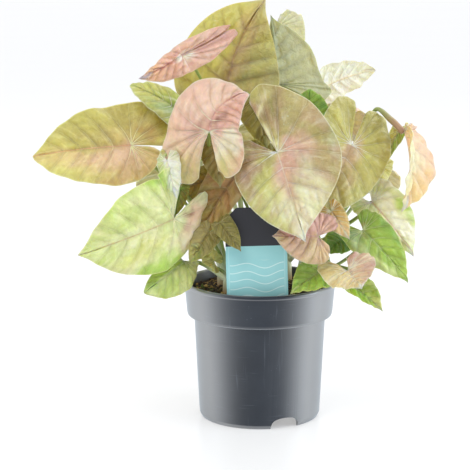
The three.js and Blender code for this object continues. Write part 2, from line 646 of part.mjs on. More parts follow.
// ---- shoots ----
// A short crown in the soil, with every leaf stalk that grows from it.
function shootGeometry(name) {
  const { at, top } = shoots[name];
  const crown = lathe([
    [0, CROWN_FOOT], [CROWN_RADIUS - 0.6, CROWN_FOOT], [CROWN_RADIUS, CROWN_FOOT + 1],
    [CROWN_RADIUS, top - 10], [CROWN_RADIUS - 1, top - 2], [0, top],
  ], CROWN_SIDES);
  crown.translate(at[0], at[1], 0);
  let shoot = solidOf(crown);
  Object.values(leaves).filter((leaf) => leaf.shoot === name).forEach((leaf) => {
    const foot = leaf.stalk * STALK_FLARE;
    shoot = shoot.add(solidOf(taperedTube(stalkCurve(leaf), foot, leaf.stalk, STALK_SIDES, STALK_STEPS)));
  });
  return geometryOf(shoot);
}

// ---- the plant ----
Object.entries(leaves).forEach(([name, leaf]) => {
  const stalk = Math.max(...leaf.half) > STALK_WIDE_HALF ? STALK_WIDE : STALK_THIN;
  leaves[name] = { ...leafDefaults, stalk, ...leaf };
});

const potPlastic = new THREE.MeshStandardMaterial({ color: '#474f5a', roughness: 0.42, metalness: 0 });
const earth = new THREE.MeshStandardMaterial({ color: '#3a2c22', roughness: 0.95, metalness: 0 });
const cardPlastic = new THREE.MeshStandardMaterial({ color: '#6fb9bf', roughness: 0.45, metalness: 0 });
const stalkGreen = new THREE.MeshStandardMaterial({ color: '#8f9a52', roughness: 0.5, metalness: 0 });
const leafGreen = new THREE.MeshStandardMaterial({ color: '#b9b872', roughness: 0.5, metalness: 0 });

const plant = new THREE.Group();
function addPiece(name, geometry, material) {
  const mesh = new THREE.Mesh(geometry, material);
  mesh.name = name;
  plant.add(mesh);
}
addPiece('pot', potGeometry(), potPlastic);
addPiece('soil', soilGeometry(), earth);
addPiece('label', labelGeometry(0), cardPlastic);
Object.keys(shoots).forEach((name) => addPiece(name, shootGeometry(name), stalkGreen));
Object.entries(leaves).forEach(([name, leaf]) => addPiece(name, bladeGeometry(leaf), leafGreen));

export default plant;
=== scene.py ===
"""The looks of a potted arrowhead plant: blades, stalks, nursery pot, potting soil, label card and stage.

The table of leaves is in millimetres, in the frame of the packed solids: +Z up, -Y the front.
"""
import math
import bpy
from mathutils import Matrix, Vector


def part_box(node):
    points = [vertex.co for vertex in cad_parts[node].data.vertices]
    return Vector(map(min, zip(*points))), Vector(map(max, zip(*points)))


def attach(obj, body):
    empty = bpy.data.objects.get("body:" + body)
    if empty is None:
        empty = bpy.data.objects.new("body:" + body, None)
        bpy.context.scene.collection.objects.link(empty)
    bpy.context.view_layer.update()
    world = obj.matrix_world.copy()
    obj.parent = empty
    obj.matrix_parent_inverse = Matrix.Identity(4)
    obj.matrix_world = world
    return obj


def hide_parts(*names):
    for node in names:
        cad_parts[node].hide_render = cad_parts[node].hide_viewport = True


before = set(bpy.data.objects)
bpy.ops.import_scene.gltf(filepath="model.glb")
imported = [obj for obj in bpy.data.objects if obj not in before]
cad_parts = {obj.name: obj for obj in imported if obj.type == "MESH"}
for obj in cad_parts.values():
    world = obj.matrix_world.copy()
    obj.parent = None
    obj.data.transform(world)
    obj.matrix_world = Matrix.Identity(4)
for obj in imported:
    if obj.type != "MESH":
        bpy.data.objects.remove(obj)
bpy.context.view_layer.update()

from types import SimpleNamespace

import bmesh
import bpy
import numpy as np
from bpy.props import FloatProperty, FloatVectorProperty, IntProperty, PointerProperty
from mathutils import Matrix, Vector

BODY = "root"
MM = 0.001
POT_LOW, POT_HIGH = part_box("pot")

bl_info = {
    "name": "Potted arrowhead plant",
    "version": (1, 0, 0),
    "blender": (4, 5, 0),
    "location": "3D View > Sidebar > Arrowhead",
    "description": "Dresses the solids of a potted arrowhead plant",
    "category": "Object",
}


# ---- tones ----
# name: (colour as a hexadecimal number, where it is found on the plant)
TONES = {
    "olive": (0xBDB86C, "yellow olive of a half-grown blade"),
    "khaki": (0xAFA36A, "brownish olive"),
    "lime": (0xC9CB7C, "light yellow green"),
    "moss": (0x7A7430, "olive of a shaded blade"),
    "green": (0x8FB04A, "fresh green"),
    "deep": (0x55882C, "full green of an old blade"),
    "leafy": (0x9CC94A, "lively green at a margin"),
    "sage": (0x93B088, "blue green of an old blade"),
    "grey": (0xBCBAA2, "grey green of an underside"),
    "mint": (0xCBD69C, "palest green"),
    "cream": (0xF4EED2, "cream"),
    "butter": (0xFBF7C4, "pale yellow of a young blade"),
    "pink": (0xE0AA9E, "salmon pink of a young blade"),
    "blush": (0xE9BFB0, "lightest pink"),
    "mauve": (0xC09890, "pink along a rib"),
    "tan": (0xD8BC90, "pinkish tan"),
    "peach": (0xF4C59E, "peach of the youngest blade"),
    "amber": (0xB4875A, "amber brown"),
    "gold": (0xE0B060, "golden tan"),
    "milk": (0xFFFCEC, "almost white"),
    "lemon": (0xFFFCB8, "palest yellow, at the very top"),
    "rust": (0xAF8B6C, "stalk of the youngest blade"),
    # plum is painted shade: the dark inside folds and under rolled lobes.
    "plum": (0x7A564C, "dark fold of a young blade"),
    "stem": (0x93A352, "leaf stalk"),
    "foot": (0xDDE3BC, "pale foot of a leaf stalk"),
}


def linear(code):
    """Scene colour of a hexadecimal screen colour."""
    shares = [(code >> shift & 255) / 255 for shift in (16, 8, 0)]
    return tuple(s / 12.92 if s <= 0.04045 else ((s + 0.055) / 1.055) ** 2.4 for s in shares)


def colour(code, name, description):
    """A colour that the user can change."""
    return FloatVectorProperty(
        name=name, description=description, subtype="COLOR", size=3, min=0, max=1, default=linear(code)
    )


def length(name, description, default):
    """A length that the user can change."""
    return FloatProperty(name=name, description=description, unit="LENGTH", default=default, min=0)


class ToneSettings(bpy.types.PropertyGroup):
    """The tones that blades and stalks are painted with."""

    __annotations__ = {
        name: colour(code, name.capitalize(), about.capitalize()) for name, (code, about) in TONES.items()
    }


class BladeSettings(bpy.types.PropertyGroup):
    """Sizes of a leaf blade's own relief."""

    thickness: length("Thickness", "Of a blade between its veins", 0.00045)
    quilting: length("Quilting", "Rise of the blade between two side veins", 0.0023)
    rib: length("Rib", "How far the midrib stands out underneath", 0.0009)
    frill: length("Frill", "Height of the short waves at the margin", 0.0009)


class PotSettings(bpy.types.PropertyGroup):
    """The nursery pot."""

    height: length("Height", "From the table to the rim", POT_HIGH.z - POT_LOW.z)
    rim: length("Rim radius", "Outside, at the lip", (POT_HIGH.x - POT_LOW.x) / 2)
    segments: IntProperty(name="Segments", description="Round the pot", default=144, min=24, step=6)
    plastic: colour(0x0E1520, "Plastic", "Colour of the pot")
    scuff: colour(0x8B95A3, "Scuffs", "Colour of fine scratches and dust")


class SoilSettings(bpy.types.PropertyGroup):
    """The potting soil and what lies on it."""

    earth: colour(0x30261B, "Earth", "Damp peat")
    crumb: colour(0x4E3B28, "Crumbs", "Drier crumbs of bark")
    straw: colour(0xBE9C5C, "Straw", "Fibres and chips")
    moss: colour(0x6D7F2E, "Moss", "Moss and young weeds")
    crumbs: IntProperty(name="Crumb count", description="Crumbs that lie on the soil", default=900, min=0)
    fibres: IntProperty(name="Fibre count", description="Fibres that lie on the soil", default=170, min=0)


class CardSettings(bpy.types.PropertyGroup):
    """The label card."""

    head: colour(0x2C2D35, "Head", "Plain upper panel")
    panel: colour(0x94D4D8, "Panel", "Lower panel")
    waves: colour(0xDDF4F3, "Waves", "Fine lines on the lower panel")
    seam: length("Seam height", "Where the two panels meet", 0.1452)


class StageSettings(bpy.types.PropertyGroup):
    """Floor, light and camera."""

    floor: colour(0xD0D0D2, "Floor", "Colour of the floor")
    glow: FloatProperty(name="Floor glow", description="Light that the floor gives off", default=0.37, min=0)
    light: FloatProperty(name="Light", description="Strength of all lamps", default=1.0, min=0)
    lens: FloatProperty(name="Lens", description="Focal length in millimetres", default=134.04, unit="CAMERA")


# ---- shader building ----
class Value:
    """A socket in a finish. Arithmetic on it adds Math nodes."""

    def __init__(self, finish, socket):
        self.finish = finish
        self.socket = socket

    def maths(self, operation, *terms):
        return self.finish.node("ShaderNodeMath", {"operation": operation}, dict(enumerate(terms)))

    def __add__(self, other):
        return self.maths("ADD", self, other)

    def __sub__(self, other):
        return self.maths("SUBTRACT", self, other)

    def __rsub__(self, other):
        return self.maths("SUBTRACT", other, self)

    def __mul__(self, other):
        return self.maths("MULTIPLY", self, other)

    def __abs__(self):
        return self.maths("ABSOLUTE", self)

    def __mod__(self, other):
        return self.maths("FLOORED_MODULO", self, other)

    __radd__ = __add__
    __rmul__ = __mul__

    def nearest(self):
        """The whole number next to it."""
        return self.maths("ROUND", self)

    def sine(self):
        return self.maths("SINE", self)

    def ease(self, low, high):
        """0 up to low, 1 from high on, smooth in between."""
        return self.finish.node(
            "ShaderNodeMapRange",
            {"interpolation_type": "SMOOTHSTEP"},
            {"Value": self, "From Min": low, "From Max": high},
        )


class Finish:
    """A procedural material, or a world, while it is being built."""

    def __init__(self, name, kind=bpy.data.materials):
        self.block = kind.new(name)
        self.block.use_nodes = True
        self.tree = self.block.node_tree
        self.tree.nodes.clear()

    def node(self, kind, settings, sockets, output=0):
        """Adds a node, its settings first and then its sockets' values or links, and gives one output."""
        node = self.tree.nodes.new(kind)
        for setting, value in settings.items():
            setattr(node, setting, value)
        for name, value in sockets.items():
            if isinstance(value, Value):
                self.tree.links.new(value.socket, node.inputs[name])
            else:
                node.inputs[name].default_value = value
        return Value(self, node.outputs[output])

    def attribute(self, name, output="Fac"):
        return self.node("ShaderNodeAttribute", {"attribute_name": name}, {}, output)

    def place(self):
        """Where a point lies on the object, in metres."""
        return self.node("ShaderNodeTexCoord", {}, {}, "Object")

    def stretch(self, vector, factors):
        return self.node("ShaderNodeVectorMath", {"operation": "MULTIPLY"}, {0: vector, 1: factors})

    def scale(self, vector, factor):
        return self.node("ShaderNodeVectorMath", {"operation": "SCALE"}, {0: vector, "Scale": factor})

    def noise(self, vector, scale, detail=2.0, distortion=0.0):
        sockets = {"Vector": vector, "Scale": scale, "Detail": detail, "Distortion": distortion}
        return self.node("ShaderNodeTexNoise", {}, sockets)

    def cells(self, vector, scale, feature="F1"):
        return self.node("ShaderNodeTexVoronoi", {"feature": feature}, {"Vector": vector, "Scale": scale})

    def mix(self, share, first, second):
        """first blended into second by share; either is a colour."""
        padded = [value if isinstance(value, Value) else (*value, 1.0) for value in (first, second)]
        sockets = {0: share, 6: padded[0], 7: padded[1]}
        return self.node("ShaderNodeMix", {"data_type": "RGBA"}, sockets, 2)

    def bump(self, height, depth, strength=1.0):
        """Normal of a relief whose height runs from 0 to 1 over depth, in metres."""
        return self.node("ShaderNodeBump", {}, {"Height": height, "Distance": depth, "Strength": strength})

    def close(self, shader, output):
        """Links a shader to the output and gives the finished material or world."""
        self.tree.links.new(shader.socket, self.tree.nodes.new(output).inputs["Surface"])
        return self.block

    def skin(self, **sockets):
        """Closes the material with a surface shader."""
        named = {name.replace("_", " "): value for name, value in sockets.items()}
        return self.close(self.node("ShaderNodeBsdfPrincipled", {}, named), "ShaderNodeOutputMaterial")


# ---- meshes ----
def add(name, data):
    """Puts a mesh, a lamp or a camera into the scene."""
    thing = bpy.data.objects.new(name, data)
    bpy.context.scene.collection.objects.link(thing)
    return thing


def fit_piece(name, mesh, node):
    """Puts a mesh into the scene in place of a packed solid."""
    piece = add(name, mesh)
    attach(piece, BODY)
    if node:
        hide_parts(node)


def build_mesh(name, points, faces, attributes, finishes):
    """A smooth mesh from points in millimetres; attributes are per point."""
    mesh = bpy.data.meshes.new(name)
    mesh.from_pydata((np.asarray(points) * MM).tolist(), [], faces)
    kinds = {1: ("FLOAT", "value"), 3: ("FLOAT_VECTOR", "vector"), 4: ("FLOAT_COLOR", "color")}
    for label, values in attributes.items():
        values = np.asarray(values, np.float32)
        kind, field = kinds[values.shape[1] if values.ndim > 1 else 1]
        mesh.attributes.new(label, kind, "POINT").data.foreach_set(field, values.ravel())
    mesh.shade_smooth()
    for finish in finishes:
        mesh.materials.append(finish)
    mesh.validate()
    return mesh


def taken_out(shape):
    """Points and faces of a bmesh, which is freed."""
    shape.verts.index_update()
    points = np.array([vertex.co for vertex in shape.verts])
    faces = [tuple(vertex.index for vertex in face.verts) for face in shape.faces]
    shape.free()
    return points, faces


def ring_faces(rings):
    """Faces from each ring of point numbers to the next. A ring may be one number, repeated."""
    faces = []
    for lower, upper in zip(rings, rings[1:]):
        for s in range(len(lower)):
            after = (s + 1) % len(lower)
            corners = dict.fromkeys((lower[s], lower[after], upper[after], upper[s]))
            if len(corners) > 2:
                faces.append(tuple(corners))
    return faces


def numbered_rings(count, segments):
    """Rings of point numbers, one after the other."""
    return np.arange(count * segments).reshape(count, segments).tolist()


def circle(segments):
    """Even angles round a circle."""
    return np.linspace(0, 2 * math.pi, segments, endpoint=False)


def smooth(value, low, high):
    """0 up to low, 1 from high on, smooth in between."""
    share = np.clip((value - low) / (high - low), 0, 1)
    return share * share * (3 - 2 * share)


def sinc(angle):
    return np.sinc(angle / math.pi)


def unit(vector):
    return vector / np.linalg.norm(vector)


def quadratic(start, knee, end, share):
    """A point on the curve from start to end that leaves and arrives along the lines to the knee."""
    return start * (1 - share) ** 2 + 2 * knee * share * (1 - share) + end * share**2


def hermite(start, end, leaving, arriving, share):
    """A point on the curve from start to end that leaves and arrives with these slopes."""
    square = 3 * end - 3 * start - 2 * leaving - arriving
    cubic = 2 * start - 2 * end + leaving + arriving
    return start + share * (leaving + share * (square + share * cubic))


# ---- leaf table ----
# Half of the flat outline from the tip round the margin to the sinus, as
# (across, along), with the midrib one unit long and the stalk's joint at 0, 0.
OUTLINE = np.array([
    (0, 1), (0.05, 0.915), (0.15, 0.81), (0.275, 0.65), (0.375, 0.45), (0.425, 0.22),
    (0.43, -0.02), (0.41, -0.23), (0.335, -0.41), (0.215, -0.47), (0.12, -0.4),
])
OUTLINE_HALF = 0.43  # how wide it gets
OUTLINE_LOBE = 0.47  # how far it reaches behind the joint
# Places on the margin are shares of it, from the tip to the sinus.
FEATHERED = 0.5  # the part that is fed by side veins of the midrib
LOBE_START, LOBE_SLIM, LOBE_SWUNG = 0.5, 0.75, 0.8  # where a lobe's slimness and swing set in and are full
VEINS = np.array([0, 0.16, 0.245, 0.325, 0.405, 0.5, 0.59, 0.68, 0.77, 0.86, 1])
LANES = np.arange(len(VEINS))  # a lane is the strip between two side veins
VEIN_SWEEP = 1.25  # how much side veins bend towards the tip
RIPPLES = 16
# Shares of the way from the midrib to the margin, closer together at both.
COLUMNS = np.concatenate([[0, 0.015, 0.035], np.linspace(0.07, 0.93, 19), [0.965, 0.988, 1]])

PAIRS = {
    "half": (20, 20), "lobe": (20, 20), "splay": (0, 0), "slim": (0, 0), "full": (0, 0), "fold": (12, 12),
    "curl": (-20, -20),
}
SINGLES = {"arch": 25, "lift": 0, "sway": 0, "twist": 0, "wave": 1, "via": ()}
ANGLES = ("face", "splay", "fold", "curl", "arch", "lift", "sway", "twist")


def leaf(shoot, base, tip, face, **more):
    """Shape of one leaf, in millimetres and degrees: close to its packed solid, if it has one.

    base is the stalk's joint. face says where the upper side looks: from the front round to the right,
    and up. PAIRS are for a blade's two halves, first the one on the right with the tip away from you and
    the upper side up: half is its width and lobe its length behind the joint, splay swings the lobe out,
    slim narrows it, full fills the half towards the tip, fold is the slope at the midrib and curl how
    much that changes up to the margin. arch bends the midrib down and sway sideways, lift raises the
    lobes, twist turns the tip, wave is the height of the margin's waves, and via leads the stalk.
    """
    values = {**PAIRS, **SINGLES, "base": base, "tip": tip, "face": face, **more}
    for name in ("base", "tip", *PAIRS):
        values[name] = np.array(values[name], float)
    for name in ANGLES:
        values[name] = np.radians(values[name])
    return SimpleNamespace(shoot=shoot, **values)


# name: (where its crown stands, height of its top)
SHOOTS = {
    "left": ((-30, 6), 122),
    "front_left": ((-25, -24), 120),
    "front": ((6, -18), 122),
    "right": ((31, -10), 120),
    "back_left": ((-12, 30), 124),
    "back_right": ((22, 26), 124),
}
LEAVES = {
    "left_broad": leaf(
        "left", (-99, -22, 219), (-173, -40, 213), (0, 32), half=(33, 32), lobe=(31, 19), splay=(-24, -18),
        slim=(-0.3, 0.25), full=(0.15, 0.48), arch=20, curl=(-10, -25), wave=2,
        via=((-52, 12, 165), (-84, 4, 200)),
    ),
    "left_folded": leaf(
        "left", (-62, -2, 242), (-102, 6, 262), (-10, 40), half=(11, 15), lobe=(9, 10), full=(0.4, 0.3),
        arch=60, fold=(20, 20),
    ),
    "top_pink": leaf(
        "back_left", (-60, -22, 289), (-92, -36, 272), (29, -4), half=(8, 14), lobe=(60, 58),
        splay=(-13, 2), slim=(-0.3, -0.3), full=(-0.2, 0.17), lift=20, fold=(20, 22),
        via=((-24, 32, 180), (-40, 20, 250), (-52, 0, 278)),
    ),
    "top_broad": leaf(
        "back_left", (-27, 36, 246), (4, 24, 328), (-4, 8), half=(42, 44), lobe=(6, 30), splay=(30, 7),
        slim=(-0.05, 0.29), full=(0.12, 0.22), sway=-34, wave=1.5,
    ),
    "front_pink": leaf(
        "left", (-38, -60, 235), (-8, -54, 262), (-5, 25), half=(23, 32), lobe=(34, 39), splay=(3, -9),
        slim=(-0.35, -0.55), full=(0.4, -0.2), arch=35, sway=-80,
        via=((-33, 4, 165), (-38, -8, 202), (-39, -42, 224)),
    ),
    "front_broad": leaf(
        "front", (13, -56, 219), (34, -78, 155), (0, 12), half=(37, 46), lobe=(26, 56), splay=(30, -24),
        slim=(0.24, 0.1), full=(0.14, -0.33), arch=20, wave=2,
    ),
    "right_broad": leaf(
        "right", (71, -10, 218), (41, -38, 164), (15, 20), half=(30, 31), lobe=(42, 40), splay=(2, -14),
        arch=30, wave=1.5,
    ),
    "right_lobe": leaf(
        "right", (109, 12, 227), (95, 22, 201), (0, -10), half=(6, 6), lobe=(5, 5), arch=60,
        via=((78, 12, 172), (108, 24, 214)),
    ),
    "right_rear": leaf(
        "right", (94, 32, 195), (82, 20, 173), (10, 20), half=(12, 12), lobe=(12, 12),
        via=((60, 20, 150), (84, 34, 182)),
    ),
    "right_peach": leaf(
        "back_right", (112, -10, 229), (109, -24, 168), (80, 5), half=(16, 30), lobe=(5, 6), arch=40,
        fold=(30, 25), twist=-45, via=((80, 12, 190), (91, 32, 240), (102, 4, 236)),
    ),
    "top_rear": leaf(
        "back_right", (10, 70, 301), (14, 110, 244), (180, 30), half=(26, 26), lobe=(28, 28), arch=30,
    ),
    "rear_right": leaf(
        "back_right", (50, 60, 255), (94, 74, 268), (185, 30), half=(18, 20), lobe=(14, 14), full=(0.4, 0.4),
        arch=30,
    ),
    "top_grey": leaf(
        "back_right", (14, 37, 260), (8, 43, 315), (165, 10), half=(8, 34), lobe=(8, 23), splay=(0, 14),
        slim=(0, -0.3), full=(0, -0.12), fold=(12, 18), curl=(-20, 15),
    ),
    "inner_green": leaf(
        "back_right", (37, 2, 231), (39, 14, 259), (-10, 40), half=(18, 18), lobe=(12, 12), full=(0.3, 0.3),
    ),
    "inner_dark": leaf("front", (8, -22, 207), (-14, -16, 222), (0, 20), half=(12, 14), lobe=(12, 12)),
    "low_left": leaf(
        "front_left", (-65, -56, 168), (-135, -86, 146), (-10, -10), half=(37, 39), lobe=(34, 35),
        splay=(46, -29), slim=(0.08, 0.49), full=(0.12, 0.13), fold=(14, -4), wave=2,
    ),
    "low_left_small": leaf(
        "front_left", (-58, -32, 130), (-88, -58, 111), (-14, 3), half=(11, 21), lobe=(8, 12), splay=(54, -8),
        slim=(0, 0.34), full=(0.44, 0.4), arch=30, fold=(-16, -17), via=((-46, -14, 125),),
    ),
    "inner_amber": leaf(
        "front", (-20, -22, 195), (-49, -34, 148), (-10, 10), half=(19, 14), lobe=(12, 6), full=(0.3, 0.3),
        fold=(15, 20),
    ),
    "inner_tag": leaf(
        "front_left", (-30, -49, 164), (-14, -57, 143), (0, 20), half=(8, 9), lobe=(3, 3), fold=(20, 20),
    ),
    "low_rose": leaf("right", (44, -62, 156), (9, -66, 157), (0, 15), half=(18, 21), lobe=(16, 9)),
    "low_orange": leaf("right", (54, -48, 173), (68, -54, 152), (0, 15), half=(9, 9), lobe=(8, 8)),
    "low_dark": leaf("right", (64, -22, 147), (49, -38, 138), (0, 20), half=(11, 11), lobe=(8, 8)),
    "low_right": leaf(
        "right", (79, -34, 155), (113, -51, 118), (10, 30), half=(18, 19), lobe=(14, 14), arch=35,
        via=((60, -14, 124), (79, -27, 144)),
    ),
    "right_cream": leaf(
        "right", (87, -8, 173), (119, -25, 133), (15, 25), half=(17, 24), lobe=(12, 16), arch=30,
    ),
    "low_olive": leaf(
        "right", (66, -68, 131), (76, -82, 120), (5, 28), half=(19, 22), lobe=(28, 14),
        via=((50, -18, 124), (70, -42, 126)),
    ),
    "low_bud": leaf("right", (70, -30, 112), (95, -40, 93), (10, 30), half=(6, 14), lobe=(8, 8)),
    "rim_green": leaf("right", (52, -40, 127), (23, -64, 112), (0, 45), half=(16, 16), lobe=(10, 10)),
    "left_curl": leaf(
        "left", (-66, -34, 219), (-78, -42, 212), (0, 30), half=(5, 5), lobe=(4, 4),
        via=((-50, -4, 175), (-70, -20, 210)),
    ),
    "inner_olive": leaf(
        "left", (-34, -10, 195), (-67, -20, 183), (0, -20), half=(13, 23), lobe=(8, 12), splay=(0, 15),
    ),
    "inner_low": leaf("front_left", (-35, -40, 132), (-53, -50, 148), (0, 40), half=(8, 8), lobe=(8, 8)),
    "back_upper": leaf(
        "back_left", (-24, 92, 216), (-40, 142, 172), (190, 45), half=(30, 30), lobe=(22, 22), wave=2,
    ),
    "back_left": leaf("back_left", (-66, 70, 188), (-102, 106, 156), (220, 45), half=(26, 26), lobe=(22, 22)),
    "back_right": leaf("back_right", (82, 66, 192), (110, 108, 154), (140, 45), half=(28, 28), lobe=(22, 22)),
    "back_middle": leaf(
        "back_right", (22, 86, 182), (32, 136, 140), (170, 45), half=(28, 28), lobe=(26, 26), wave=2,
    ),
    "back_low_left": leaf("back_left", (-44, 66, 146), (-68, 100, 112), (210, 45), lobe=(18, 18)),
    "back_low_right": leaf("back_right", (62, 56, 140), (92, 84, 108), (130, 45), lobe=(18, 18)),
    "back_side": leaf("left", (-86, 34, 172), (-122, 56, 142), (250, 50), half=(22, 22)),
    "back_high_right": leaf("back_right", (56, 84, 232), (88, 124, 196), (150, 45), half=(28, 28), wave=2),
    "back_high_left": leaf(
        "back_left", (-74, 74, 238), (-114, 104, 210), (215, 45), half=(25, 25), lobe=(22, 22),
        via=((-22, 46, 165), (-58, 70, 220)),
    ),
    "back_rim": leaf("back_left", (-6, 72, 132), (-14, 104, 102), (180, 45), half=(18, 18), lobe=(16, 16)),
}


# Small leaves deep inside that have no solid of their own.
INNER_LEAVES = {
    "hidden_olive": leaf("front", (-3, -18, 254), (5, -28, 217), (5, 25), half=(16, 18), lobe=(9, 11)),
    "hidden_pale": leaf("left", (-70, -52, 212), (-62, -66, 185), (-15, 20), half=(8, 10), lobe=(7, 7)),
    "hidden_green": leaf("left", (-61, -36, 188), (-66, -42, 166), (10, 10), half=(7, 7), lobe=(6, 6)),
    "hidden_brown": leaf("left", (-34, -35, 225), (-30, -44, 190), (0, 20), half=(13, 13), lobe=(9, 9)),
    "hidden_low": leaf("front_left", (-39, -42, 155), (-54, -52, 132), (-10, 15), half=(10, 11), lobe=(8, 8)),
}


ALL_LEAVES = {**LEAVES, **INNER_LEAVES}


def paint(
    first, second, washes=(), trace="butter", rib="", streak="", under="grey", stalk="stem", crumple=1,
    girth=1,
):
    """Paint of one leaf: a tone for either half, soft washes over them and the tones of its other parts.

    A wash is (tone, across, along, reach across, reach along, strength), where across runs from -1 to 1
    and along from -1 in the lobes to 1 at the tip. trace is the tone of the veins, rib that of the midrib
    and streak that of the streaks beside the veins. crumple makes the blade more or less wrinkled, and
    girth the stalk thicker.
    """
    return SimpleNamespace(
        halves=(first, second), washes=washes, trace=trace, rib=rib or trace, streak=streak or trace,
        under=under, stalk=stalk, crumple=crumple, girth=girth,
    )


